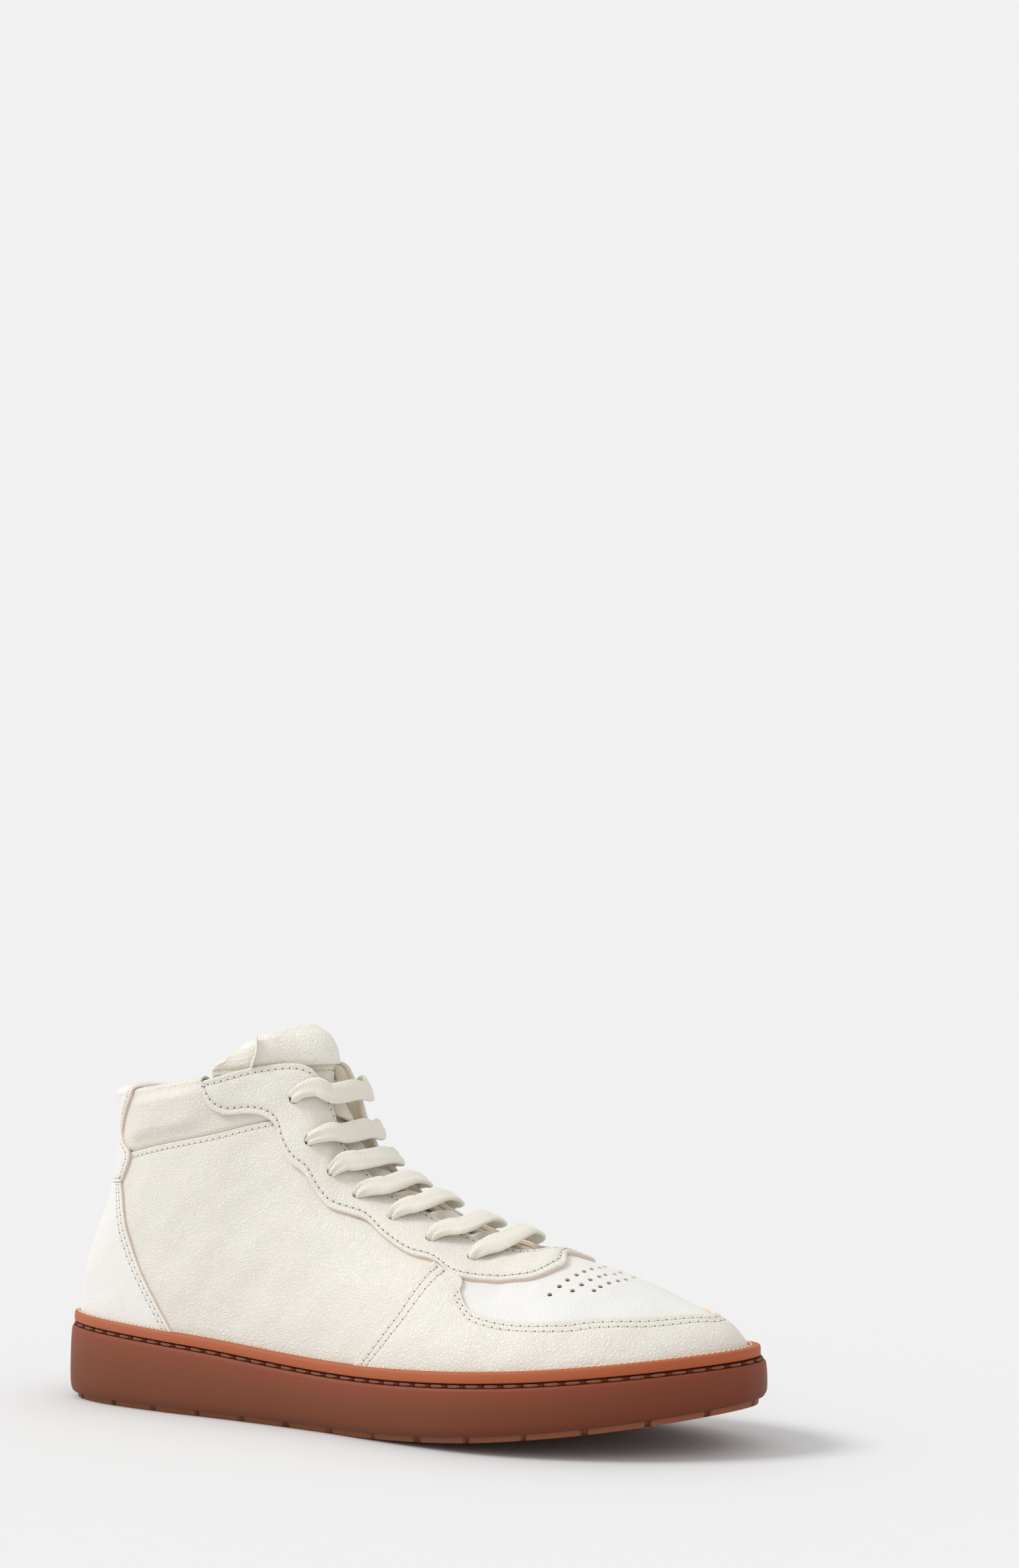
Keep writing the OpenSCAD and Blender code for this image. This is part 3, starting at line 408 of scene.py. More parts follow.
def sheet(solid, outer, inner, walls=(1, 1, 1, 1), mats=(0, 0, 0), wrap=(False, False), **data):
    """Outer and inner faces and the walls between them: first row, last row, first and last column."""
    a, b = solid.grid(outer, mats[0], wrap, **data), solid.grid(inner, mats[1], wrap, **data)
    edges = ((a[0], b[0]), (a[-1], b[-1]), (a[:, 0], b[:, 0]), (a[:, -1], b[:, -1]))
    for wall, (p, q) in zip(walls, edges):
        if wall:
            solid.strip(p, q, mats[2])


ROUND_AT = np.array([0, 0.08, 0.3, 0.6, 1.0])


class Panel:
    """A leather panel: spot(k, r, d) gives points, k and r run 0 to 1, and the edges are rounded off."""

    def __init__(self, spot, n, m, d_out, d_in, soft=(1, 1, 1, 1), radius=0.65, relief=None):
        self.spot, self.radius = spot, radius
        ks, rs = np.linspace(0, 1, 60), np.linspace(0, 1, 24)
        kk, rr = np.meshgrid(ks, rs, indexing="ij")
        p = spot(kk, rr, 0 * kk)
        self.width_at = (ks, np.linalg.norm(np.diff(p, axis=1), axis=-1).sum(1))
        self.length_at = (rs, np.linalg.norm(np.diff(p, axis=0), axis=-1).sum(0))
        k, k_drop = self.spread(n, soft[0], soft[1], np.median(self.length_at[1]))
        r, r_drop = self.spread(m, soft[2], soft[3], None)
        k = k[:, 0]
        width = np.interp(k, *self.width_at)
        r = r(width)
        kk = np.broadcast_to(k[:, None], r.shape)
        drop = np.minimum(radius, k_drop[:, None] + r_drop[None, :])
        from_edge = (kk * np.interp(r, *self.length_at), (1 - kk) * np.interp(r, *self.length_at),
                     r * width[:, None], (1 - r) * width[:, None])
        self.depth_out = d_out
        extra = relief(kk, r, from_edge) if relief else 0
        self.outer = spot(kk, r, d_out - drop + extra)
        self.inner = spot(kk, r, d_in + 0 * kk)

    def spread(self, n, first, last_one, length):
        """Parameters with close rows at a rounded edge, and how far each drops below the face."""
        x = ROUND_AT * self.radius
        fall = self.radius * (1 - np.sqrt(np.maximum(0, 1 - (1 - ROUND_AT) ** 2)))
        a = x if first else x[:1]
        b = x[::-1] if last_one else x[:1]
        drop = np.r_[fall if first else [0.0], np.zeros(n), fall[::-1] if last_one else [0.0]]

        def at(size):
            size = np.atleast_1d(size)[:, None]
            lo, hi = a[None] / size, 1 - b[None] / size
            mid = lo[:, -1:] + (hi[:, :1] - lo[:, -1:]) * np.linspace(0, 1, n + 2)[None, 1:-1]
            return np.concatenate([lo, mid, hi], 1)
        return (at(length).T, drop) if length is not None else (at, drop)

    def into(self, solid, walls=(1, 1, 1, 1), mats=(0, 0, 1)):
        sheet(solid, self.outer, self.inner, walls, mats)

    def line(self, x=None, y=None, depth=None, n=500, lo=0.0, hi=1.0):
        """Points and outward directions along the panel: x mm in from an r edge (negative from r = 1)
        or y mm in from a k edge (negative from k = 1)."""
        depth = self.depth_out if depth is None else depth
        if x is not None:
            k = np.linspace(lo, hi, n)
            w = np.interp(k, *self.width_at)
            r = x / w if x > 0 else 1 + x / w
        if y is not None:
            r = np.linspace(lo, hi, n)
            w = np.interp(r, *self.length_at)
            k = y / w if y > 0 else 1 + y / w
        p = self.spot(k, r, depth + 0 * k)
        return p, unit(self.spot(k, r, depth + 1 + 0 * k) - p)


def channel(x, at, size=0.3, width=0.75):
    """A stitch row pulls the leather down along its line."""
    return sum(-size * np.exp(-((x - a) / width) ** 2) for a in at)


def sample(at, run, v):
    return np.stack([np.interp(at, run, v[:, i]) for i in range(3)], -1)


PRICK = ((-0.25, 1.0), (0.05, 1.0), (0.08, 0.6))  # rings of the dark disc of painted shade at a needle prick: height, share of its radius


def stitches(name, lines, body="shoe", pitch=3.0, fill=0.74, radius=0.27, thread=None, hole=None,
             sink=0.12, slot=None):
    """Thread stitches lying along lines of (points, directions), with a dark disc of painted shade at every end, where
    the needle pricked through.
    """
    solid = Solid()
    around = np.linspace(0, 2 * np.pi, 7)[:-1]
    for p, nrm in lines:
        run = run_of(p)
        count = max(1, int(round(run[-1] / pitch)))
        step = run[-1] / count
        s = np.linspace(-0.5, 0.5, 7)
        at = ((np.arange(count) + 0.5) * step)[:, None] + s[None] * step * fill
        c, n = sample(at, run, p), unit(sample(at, run, nrm))
        along = unit(c[:, -1:] - c[:, :1])
        side = unit(np.cross(along, n))
        girth = radius * np.sqrt(np.maximum(0.05, 1 - (2 * s) ** 4))
        c = c + n * (-sink + 0.9 * radius * (1 - (2 * s) ** 2))[None, :, None]
        for i in range(count):
            ring = (c[i][:, None] + girth[:, None, None] * (np.cos(around)[None, :, None] * side[i][:, None]
                    + np.sin(around)[None, :, None] * n[i][:, None] * 0.8))
            idx = solid.grid(ring, 0, (False, True))
            a, b = idx[0], idx[-1]
            solid.put([a[[0, 1, 2, 3]], a[[0, 3, 4, 5]], b[[3, 2, 1, 0]], b[[5, 4, 3, 0]]], 0)
        # a small dark disc over each needle prick: painted shade, no hole is cut
        if hole:
            at = np.arange(count + 1) * step
            c, n = sample(at, run, p), unit(sample(at, run, nrm))
            ahead, behind = np.minimum(at + 0.5, run[-1]), np.maximum(at - 0.5, 0)
            along = unit(sample(ahead, run, p) - sample(behind, run, p))
            side = unit(np.cross(along, n))
            size = hole[1]
            for i in range(count + 1):
                disc = np.cos(around)[:, None] * along[i] + np.sin(around)[:, None] * side[i]
                rings = [c[i] + n[i] * h + size * w * disc for h, w in PRICK]
                idx = solid.grid(np.array(rings), 1, (False, True))
                for e in (idx[0], idx[-1]):
                    solid.put([e[[0, 1, 2, 3]], e[[0, 3, 4, 5]]], 1)
    return solid.make(name, [thread] + ([hole[0]] if hole else []), body, slot=slot)


# ---------------------------------------------------------------- materials
def srgb(r, g, b):
    f = [c / 255 for c in (r, g, b)]
    return tuple((c / 12.92 if c <= 0.04045 else ((c + 0.055) / 1.055) ** 2.4) for c in f) + (1.0,)


class Nodes:
    """A short way to write a node tree."""

    def __init__(self, name):
        self.mat = bpy.data.materials.new(name)
        self.mat.use_nodes = True
        self.tree = self.mat.node_tree
        self.tree.nodes.clear()
        self.out = self.tree.nodes.new("ShaderNodeOutputMaterial")
        self.shader = self.add("ShaderNodeBsdfPrincipled")
        self.tree.links.new(self.shader.outputs[0], self.out.inputs[0])
        self.place = self.add("ShaderNodeTexCoord").outputs["Object"]

    def add(self, kind, **values):
        node = self.tree.nodes.new(kind)
        for key, value in values.items():
            if key.startswith("in_"):
                self.set(node, key[3:], value)
            else:
                setattr(node, key, value)
        return node

    def set(self, node, key, value):
        socket = node.inputs[int(key)] if key.isdigit() else node.inputs[key.replace("_", " ")]
        if isinstance(value, bpy.types.NodeSocket):
            self.tree.links.new(value, socket)
        else:
            socket.default_value = value

    def noise(self, scale, detail=2.0, rough=0.5, where=None):
        return self.add("ShaderNodeTexNoise", in_Vector=where or self.place, in_Scale=scale, in_Detail=detail,
                        in_Roughness=rough).outputs["Fac"]

    def cells(self, scale, where=None):
        return self.add("ShaderNodeTexVoronoi", feature="DISTANCE_TO_EDGE", in_Vector=where or self.place,
                        in_Scale=scale).outputs["Distance"]

    def ramp(self, fac, stops):
        node = self.add("ShaderNodeValToRGB", in_Fac=fac)
        while len(node.color_ramp.elements) < len(stops):
            node.color_ramp.elements.new(0.5)
        for e, (pos, col) in zip(node.color_ramp.elements, stops):
            e.position, e.color = pos, (col if len(col) == 4 else (*col, 1.0))
        return node.outputs["Color"]

    def math(self, kind, a, b=0.0, c=0.0):
        return self.add("ShaderNodeMath", operation=kind, in_0=a, in_1=b, in_2=c).outputs[0]

    def mix(self, fac, a, b):
        node = self.add("ShaderNodeMix", data_type="RGBA")
        for i, v in ((0, fac), (6, a), (7, b)):
            self.set(node, str(i), v)
        return node.outputs[2]

    def bump(self, height, strength, distance, normal=None):
        node = self.add("ShaderNodeBump", in_Height=height, in_Strength=strength, in_Distance=distance)
        if normal is not None:
            self.set(node, "Normal", normal)
        return node.outputs["Normal"]

    def attribute(self, name):
        return self.add("ShaderNodeAttribute", attribute_name=name).outputs["Fac"]

    def finish(self, colour, roughness, normal=None, **more):
        self.set(self.shader, "Base Color", colour)
        self.set(self.shader, "Roughness", roughness)
        if normal is not None:
            self.set(self.shader, "Normal", normal)
        for key, value in more.items():
            self.set(self.shader, key, value)
        return self.mat


def shade(colour, k):
    return tuple(min(1, c * k) for c in colour[:3]) + (1.0,)


def leather(name, rgb, grain=1.0, rough=0.5, tone=0.03, crease=1.0):
    """Soft full-grain leather: fine pebbles, slow creases, faint mottling."""
    n = Nodes(name)
    base = srgb(*rgb)
    warp = n.add("ShaderNodeTexNoise", in_Vector=n.place, in_Scale=260.0, in_Detail=2.0).outputs["Color"]
    spot = n.add("ShaderNodeMixRGB", blend_type="LINEAR_LIGHT", in_Fac=0.0016, in_Color1=n.place,
                 in_Color2=warp).outputs[0]
    pebble = n.cells(760.0, where=spot)
    pebble = n.math("MINIMUM", n.math("MULTIPLY", pebble, 3.2), 1.0)
    slow = n.noise(46.0, 4.0, 0.55)
    fold = n.noise(150.0, 3.0, 0.6)
    mottle = n.noise(24.0, 3.0, 0.55)
    colour = n.mix(mottle, shade(base, 1 - tone), shade(base, 1 + tone))
    colour = n.mix(n.math("SUBTRACT", 1.0, pebble), colour, shade(base, 0.955))
    rough_in = n.math("ADD", n.math("MULTIPLY", slow, 0.16), rough - 0.08)
    wander = n.noise(52.0, 3.0, 0.55)
    line = n.math("MULTIPLY", n.math("ABSOLUTE", n.math("SUBTRACT", wander, 0.5)), 26.0)
    line = n.math("MINIMUM", line, 1.0)
    where = n.ramp(n.noise(21.0, 1.0, 0.5), [(0.46, (0, 0, 0)), (0.62, (1, 1, 1))])
    line = n.math("MULTIPLY", n.math("SUBTRACT", 1.0, line), where)
    low = n.bump(slow, 0.3, 0.0014)
    low = n.bump(line, -0.28 * crease, 0.0006, low)
    mid = n.bump(fold, 0.34, 0.0006, low)
    top = n.bump(pebble, 0.5 * grain, 0.0003, mid)
    return n.finish(colour, rough_in, top, Specular_IOR_Level=0.42, Sheen_Weight=0.05, Sheen_Roughness=0.5)


def raw_edge(name, rgb):
    """The cut edge and flesh side of leather."""
    n = Nodes(name)
    base = srgb(*rgb)
    fibre = n.noise(1500.0, 3.0, 0.7)
    colour = n.mix(fibre, shade(base, 0.86), shade(base, 1.1))
    return n.finish(colour, 0.85, n.bump(fibre, 0.5, 0.0003), Specular_IOR_Level=0.2)


def cloth(name, rgb, pitch=0.55, rough=0.88, strength=0.6):
    """Plain woven cloth, woven from two crossed waves in object space."""
    n = Nodes(name)
    base = srgb(*rgb)
    k = 2 * math.pi / (pitch * MM)
    axes = n.add("ShaderNodeSeparateXYZ", in_Vector=n.place).outputs
    a = n.math("SINE", n.math("MULTIPLY", n.math("ADD", axes[0], axes[1]), k))
    b = n.math("SINE", n.math("MULTIPLY", n.math("ADD", axes[2], n.math("MULTIPLY", axes[0], 0.3)), k))
    weave = n.math("ADD", n.math("MULTIPLY", n.math("MULTIPLY", a, b), 0.5), 0.5)
    mottle = n.noise(30.0, 3.0, 0.6)
    colour = n.mix(weave, shade(base, 0.86), base)
    colour = n.mix(n.math("MULTIPLY", mottle, 0.25), colour, shade(base, 0.9))
    return n.finish(colour, rough, n.bump(weave, strength, 0.00025), Specular_IOR_Level=0.15,
                    Sheen_Weight=0.2)


def lace_cloth(name, rgb):
    """Flat tubular cotton lace: a braid of slanted yarns that runs with the lace."""
    n = Nodes(name)
    base = srgb(*rgb)
    along, over = n.attribute("along"), n.attribute("over")
    slant = n.math("ABSOLUTE", over)
    k = 2 * math.pi / 1.25
    yarn = n.math("SINE", n.math("MULTIPLY", n.math("ADD", along, n.math("MULTIPLY", slant, 0.8)), k))
    rib = n.math("SINE", n.math("MULTIPLY", over, 2 * math.pi / 0.95))
    weave = n.math("ADD", n.math("MULTIPLY", n.math("MULTIPLY", yarn, rib), 0.5), 0.5)
    fuzz = n.noise(2600.0, 2.0, 0.7)
    slow = n.noise(70.0, 3.0, 0.6)
    colour = n.mix(weave, shade(base, 0.84), shade(base, 1.02))
    colour = n.mix(n.math("MULTIPLY", slow, 0.3), colour, shade(base, 0.9))
    low = n.bump(weave, 0.55, 0.00035)
    return n.finish(colour, 0.9, n.bump(fuzz, 0.25, 0.0002, low), Specular_IOR_Level=0.12, Sheen_Weight=0.3,
                    Subsurface_Weight=0.12, Subsurface_Radius=(0.004, 0.003, 0.002), Subsurface_Scale=0.5)


def rubber(name, top, bottom=None, heel=None, toe=None, rough=0.55, marks=0.6):
    """Moulded rubber: a slow gradient, fine stipple, faint scuffs."""
    n = Nodes(name)
    deep = lambda rgb: tuple(max(0.004, v - 0.018) for v in srgb(*rgb)[:3]) + (1.0,)
    base = deep(top)
    colour = base
    if bottom:
        low, middle_ = deep(bottom[0]), deep(bottom[1])
        colour = n.ramp(n.attribute("height"), [(0.0, low), (0.55, middle_), (1.0, base)])
    if heel:
        back = n.math("MULTIPLY", n.math("SUBTRACT", 1.0, n.attribute("along")), heel[1])
        colour = n.mix(n.math("SMOOTH_MIN", back, 1.0), colour, deep(heel[0]))
    if toe:
        front = n.math("MULTIPLY", n.math("POWER", n.attribute("along"), 3.0), toe[1])
        colour = n.mix(front, colour, deep(toe[0]))
    stipple = n.noise(1400.0, 2.0, 0.6)
    cloud = n.noise(38.0, 4.0, 0.6)
    dark = n.mix(0.5, colour, (0, 0, 0, 1))
    colour = n.mix(n.math("MULTIPLY", cloud, 0.22 * marks), colour, dark)
    rough_in = n.math("ADD", n.math("MULTIPLY", cloud, 0.2), rough - 0.1)
    return n.finish(colour, rough_in, n.bump(stipple, 0.18, 0.0002), Specular_IOR_Level=0.25)


def plain(name, rgb, rough=0.7, grain=900.0, depth=0.0002, **more):
    n = Nodes(name)
    base = srgb(*rgb)
    fine = n.noise(grain, 3.0, 0.6)
    colour = n.mix(fine, shade(base, 0.9), shade(base, 1.05))
    return n.finish(colour, rough, n.bump(fine, 0.4, depth), **more)


QUARTER = leather("quarter_leather", (230, 226, 216))
VAMP = leather("vamp_leather", (233, 232, 228), grain=0.6, crease=0.3)
GUARD = leather("overlay_leather", (231, 227, 217), crease=0.9)
HEEL = leather("heel_leather", (235, 231, 226), grain=0.6, crease=0.4)
COLLAR = leather("collar_leather", (229, 223, 212), grain=1.1)
TONGUE = leather("tongue_leather", (240, 236, 225), grain=1.2)
EDGE = raw_edge("leather_core", (226, 204, 186))
FLESH = raw_edge("leather_flesh_side", (228, 208, 190))
LINING = cloth("lining_cloth", (240, 231, 208), 0.7)
BACKING = cloth("backing_cloth", (210, 204, 192), 0.8)
LACE = lace_cloth("lace_cotton", (243, 237, 223))
THREAD = plain("upper_thread", (232, 227, 216), 0.75, 2200.0)
# colour of the dark discs at the needle pricks: painted shade
NEEDLE_HOLE_SHADE = plain("needle_hole", (120, 108, 96), 0.95)
SIDEWALL = rubber("cupsole_rubber", (146, 80, 62), bottom=((112, 66, 48), (127, 75, 57)),
                  heel=((132, 84, 66), 0.35), toe=((122, 64, 48), 0.5))
LIP = rubber("welt_rubber", (178, 98, 66), heel=((178, 110, 84), 0.6), marks=0.4)
# darker rubber for the groove round the sole and the cup's inside: painted shade in the recess
GROOVE_SHADE = rubber("groove_rubber", (128, 66, 48), marks=0.4)
TREAD = rubber("outsole_rubber", (144, 92, 68), rough=0.62)
SOLE_THREAD = plain("sole_thread", (128, 76, 52), 0.7, 1600.0)
# dark red discs between the sole stitches: painted shade where the thread goes into the groove
NOTCH_SHADE = plain("thread_notch", (92, 34, 24), 0.95)
CREAM_THREAD = plain("welt_thread", (226, 206, 176), 0.7, 1600.0)
FOAM = plain("foam", (236, 228, 196), 0.95, 700.0, 0.0005)
BOARD = plain("fibre_board", (190, 166, 130), 0.9, 500.0)
STIFF = plain("stiffener", (168, 166, 160), 0.6)
SUEDE = plain("heel_suede", (202, 176, 144), 0.95, 1800.0, 0.0003, Sheen_Weight=0.5)
TIP = plain("lace_tip_film", (236, 234, 228), 0.25, 300.0)

# light levels: the floor under sky and key comes out at the backdrop's tone
SKY, KEY, BACKDROP = 0.82, 1.5, 0.88
KEY_FROM, KEY_SPREAD = (-0.62, -0.5, 0.85), 0.38
FLOOR_TONE = BACKDROP / (SKY + KEY * KEY_FROM[2] / math.hypot(*KEY_FROM) / math.pi)

# ---------------------------------------------------------------- sole
RING = 340
TURN = np.linspace(0, 1, RING + 1)
RING_U = TURN - 0.05 * np.sin(2 * np.pi * TURN)
LOOP_SIDE = np.r_[np.full(RING + 1, -1.0), np.full(RING - 1, 1.0)]
LOOP_U = np.r_[RING_U, RING_U[-2:0:-1]]


def loop(d, z):
    """One ring round the sole: d mm inside the outline, at height z(x)."""
    d = np.broadcast_to(d(LOOP_U) if callable(d) else d, LOOP_U.shape)
    p = inset_edge(LOOP_SIDE, LOOP_U, d)
    return np.concatenate([p, (z(p[:, 0]) if callable(z) else np.broadcast_to(z, LOOP_U.shape))[:, None]], 1)


def welt_edge(u):
    return np.interp(u, [0, 0.7, 1], [1.4, 1.5, 2.4])


def cup_inside(u):
    return INSET(u) - 0.3


def upper_foot(u):
    """Where the upper's outer face meets the welt: further out where an overlay covers the base."""
    over = np.interp(u, [0, 0.25, 0.262, 0.512, 0.524, 1], [1, 1, 0, 0, 1, 1])
    return INSET(u) - 0.1 - OVERLAY * over


def ring_solid(name, rings, mats, face_mats, heights=None, close=True, **kw):
    """Rings stacked into a band. Faces between ring i and i + 1 take face_mats[i]."""
    s = Solid()
    pts = np.array(rings)
    idx = np.arange(pts.shape[0] * pts.shape[1]).reshape(pts.shape[:2])
    s.points.append(pts.reshape(-1, 3))
    s.count = len(s.points[0])
    along = pts[..., 0] / 300
    s.data["along"] = [(0, along.ravel())]
    if heights is not None:
        s.data["height"] = [(0, np.repeat(heights, pts.shape[1]))]
    count = len(rings) if close else len(rings) - 1
    n = pts.shape[1]
    for i in range(count):
        a, b = idx[i], idx[(i + 1) % len(rings)]
        s.put(np.stack([a, np.roll(a, -1), np.roll(b, -1), b], -1), face_mats[i])
    if not close:
        for e in (idx[0], idx[-1]):
            s.lid(e, face_mats[0])
    return s.make(name, mats, **kw)


def below_welt(z):
    return lambda x: WELT_TOP(x) - z


# how far the side wall stands inside the outline, from its foot to the groove
WALL = Curve([(0.0, 0.9), (0.05, 0.45), (0.15, 0.12), (0.4, 0.0), (0.7, 0.1), (0.9, 0.35), (0.97, 0.55),
              (1.0, 1.0)])
TREAD_Z = 2.2
CUP_FLOOR = 14.0
rings, heights = [], []
for d, z in ((6.0, 0.0), (2.4, 0.0), (1.8, 0.1), (1.25, 0.45)):
    rings.append(loop(d, lambda x, z=z: ground(x) + TREAD_Z + z))
    heights.append(0.0)
for k in np.linspace(0, 1, 26):
    lift = lambda x, k=k: (ground(x) + TREAD_Z + 1.0) * (1 - k) + (WELT_TOP(x) - GROOVE_FLOOR) * k
    rings.append(loop(float(WALL(k)), lift))
    heights.append(k)
side_faces = [0] * (len(rings) - 1)
# the groove round the sole: its faces take the darker rubber, painted shade
for d, z in ((1.5, GROOVE_FLOOR - 0.03), (2.7, GROOVE_FLOOR), (2.7, GROOVE_TOP), (1.9, GROOVE_TOP - 0.02)):
    rings.append(loop(d, below_welt(z)))
    heights.append(1.0)
side_faces += [0, 1, 1, 1]
for z in (GROOVE_TOP, CUP_FLOOR):
    rings.append(loop(cup_inside, below_welt(z)))
    heights.append(0.5)
rings.append(loop(14.0, below_welt(CUP_FLOOR)))
heights.append(0.5)
side_faces += [1, 1, 1, 1]
ring_solid("cupsole", rings, [SIDEWALL, GROOVE_SHADE], side_faces, np.array(heights), close=False,
           slot="cupsole_rubber", stands_for=("cupsole",), sharp=38)

lip = []
ledge = [(0.9, -WELT - 0.02), (0.15, -WELT + 0.12), (0.0, -WELT + 0.5), (-0.05, -WELT * 0.5), (0.0, -0.65),
         (0.25, -0.2), (0.7, 0.0), (1.6, 0.06)]
for d, z in ledge:
    lip.append(loop(lambda u, d=d: welt_edge(u) + d, lambda x, z=z: WELT_TOP(x) + z))
for z in (-0.05, -WELT):
    lip.append(loop(cup_inside, lambda x, z=z: WELT_TOP(x) + z))
ring_solid("welt_strip", lip, [LIP], [0] * len(lip), np.ones(len(lip)), slot="welt_rubber",
           stands_for=("welt_strip",), sharp=60)


def perimeter_lines(d, z, tilt):
    """The whole loop as one open line of points and outward directions."""
    p = loop(d, z)
    p = np.concatenate([p, p[:1]])
    out = -inward(LOOP_SIDE, LOOP_U)
    n = np.concatenate([out, np.full((len(out), 1), tilt)], 1)
    return p, unit(np.concatenate([n, n[:1]]))


groove_line = perimeter_lines(2.0, below_welt((GROOVE_TOP + GROOVE_FLOOR) / 2), 0.0)
# sole stitches with dark discs of painted shade between them
thread = stitches("sidewall_stitching", [groove_line], pitch=7.5, fill=0.82, radius=0.56, thread=SOLE_THREAD,
                  hole=(NOTCH_SHADE, 0.62), sink=0.3, slot="sole_thread")
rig.replaces(thread, "sidewall_stitching")
ledge_line = perimeter_lines(lambda u: upper_foot(u) - 0.55, lambda x: WELT_TOP(x) + 0.05, 8.0)
stitches("welt_row", [ledge_line], pitch=2.3, fill=0.7, radius=0.36, thread=CREAM_THREAD, sink=0.1,
         slot="sole_thread")

# tread: a bottom face with grooves, and notches round its side
s = Solid()
across = np.linspace(-1, 1, 96)
edge_in = 3.6
left = inset_edge(-1 + 0 * RING_U, RING_U, edge_in + 0 * RING_U)
right = inset_edge(1 + 0 * RING_U, RING_U, edge_in + 0 * RING_U)
w = (across[None, :, None] + 1) / 2
flat = left[:, None] * (1 - w) + right[:, None] * w
x, y = flat[..., 0], flat[..., 1]
zig = np.abs(((y / 11) % 1) - 0.5) * 2
wave_at = ((x + 5.5 * zig) / 5.2) % 1
cut = 1 - fade(0.1, 0.2, np.abs(wave_at - 0.5))
rim = fade(0.0, 0.1, 1 - np.abs(across))[None, :] * fade(3, 9, x) * (1 - fade(291, 297, x))
arch = fade(118, 126, x) * (1 - fade(160, 168, x))
bottom_z = ground(x) + 1.1 * cut * rim * (1 - 0.8 * arch)
a = s.grid(np.concatenate([flat, bottom_z[..., None]], -1), 0, along=x / 300, height=0 * x)
ring_idx = np.r_[a[:, 0], a[-2:0:-1, -1]]
NOTCH_PITCH = 22.0
phase = (run_of(loop(3.3, 0.0)) / NOTCH_PITCH) % 1
deep = 1.6 * (1 - fade(0.03, 0.06, np.abs(phase - 0.5)))
for d, z in ((3.3, 0.35), (3.15, 1.2), (3.1, TREAD_Z - 0.1)):
    p = loop(lambda u, d=d: d + deep, lambda x, z=z: ground(x) + z)
    nxt = s.count + np.arange(len(p))
    s.points.append(p)
    s.count += len(p)
    s.put(np.stack([ring_idx, np.roll(ring_idx, -1), np.roll(nxt, -1), nxt], -1), 0)
    ring_idx = nxt
s.lid(ring_idx)
s.make("outsole_tread", [TREAD], slot="outsole", stands_for=("outsole_tread",), merge=0.001, sharp=40)

# footbed inside the shoe
footbed_room = lambda u: INSET(u) + 5.0 + np.interp(u, [0, 0.55, 0.8, 1], [0.3, 0.4, 2.4, 3])
rings = [loop(lambda u, d=d: footbed_room(u) + d, below_welt(z))
         for d, z in ((0.4, 2.3), (0.0, 1.9), (0.0, 1.4), (0.5, 1.0), (2.0, 0.9))]
ring_solid("footbed_cover", rings, [LINING], [0] * 5, close=False, slot="footbed_cloth",
           stands_for=("footbed_cover",))

# ---------------------------------------------------------------- upper panels
COLLAR_SEAM = Curve([(0.1, 0.8), (0.144, 0.805), (0.21, 0.815), (0.32, 0.815), (0.39, 0.82)])
SEAM_A = Curve([(0, 0.513), (0.065, 0.523), (0.22, 0.562), (0.425, 0.615), (0.695, 0.675), (0.76, 0.69)])
HEEL_EDGE = Curve([(0, 0.27), (0.08, 0.252), (0.24, 0.213), (0.35, 0.188), (0.49, 0.163), (0.68, 0.131)])
TAB_EDGE = Curve([(0.69, 0.13), (0.745, 0.14), (0.805, 0.143), (0.85, 0.118), (0.885, 0.106), (0.94, 0.115),
                  (1, 0.138)])
EYESTAY = even([
    [0.273, 0.985, 0.2735], [0.2735, 0.955, 0.28], [0.283, 0.905, 0.294], [0.302, 0.868, 0.312],
    [0.33, 0.852, 0.338], [0.354, 0.83, 0.362], [0.371, 0.79, 0.382], [0.382, 0.72, 0.404],
    [0.4, 0.663, 0.425], [0.428, 0.645, 0.448], [0.455, 0.63, 0.468], [0.482, 0.632, 0.492],
    [0.508, 0.66, 0.517], [0.54, 0.7, 0.545], [0.568, 0.728, 0.57], [0.594, 0.7, 0.597],
    [0.637, 0.675, 0.635], [0.672, 0.692, 0.666], [0.703, 0.651, 0.698], [0.735, 0.685, 0.722],
    [0.768, 0.713, 0.748], [0.802, 0.71, 0.775], [0.832, 0.722, 0.8],
    [0.85, 0.8, 0.82], [0.857, 1, RIDGE]])
VAMP_ROWS = even([[0.69, 0.62, 0.712, 0.68], [0.682, 0.52, 0.735, 0.715], [0.672, 0.42, 0.765, 0.755],
                  [0.68, 0.34, 0.8, 0.815], [0.72, 0.3, 0.835, 0.9], [0.77, 0.287, 0.864, 1],
                  [0.83, 0.275, 0.885, 1], [0.89, 0.293, 0.92, 1], [0.94, 0.36, 0.955, 1], [1, 0.475, 1, 1]])
GUARD_ROWS = even([[0.499, 0, 0.668, 0.668], [0.545, 0, 0.705, 0.628], [0.582, 0, 0.7, 0.565],
                   [0.614, 0, 0.699, 0.5], [0.645, 0, 0.704, 0.45], [0.68, 0, 0.722, 0.429],
                   [0.725, 0, 0.748, 0.423], [0.77, 0, 0.78, 0.411], [0.81, 0, 0.813, 0.397],
                   [0.85, 0, 0.848, 0.39], [0.89, 0, 0.886, 0.402], [0.93, 0, 0.926, 0.45],
                   [0.965, 0, 0.965, 0.525], [1, 0, 1, 0.585]])
EYELETS = [(0.394, 0.875), (0.427, 0.76), (0.492, 0.78), (0.556, 0.825), (0.617, 0.845), (0.677, 0.835),
           (0.733, 0.84)]
BACK_SEAM = 0.012


def both(k):
    """A U-shaped panel: k 0 to 1/2 is the lateral half, front to back, and 1/2 to 1 is the medial half."""
    return np.where(k <= 0.5, -1.0, 1.0), np.where(k <= 0.5, 2 * k, 2 - 2 * k)


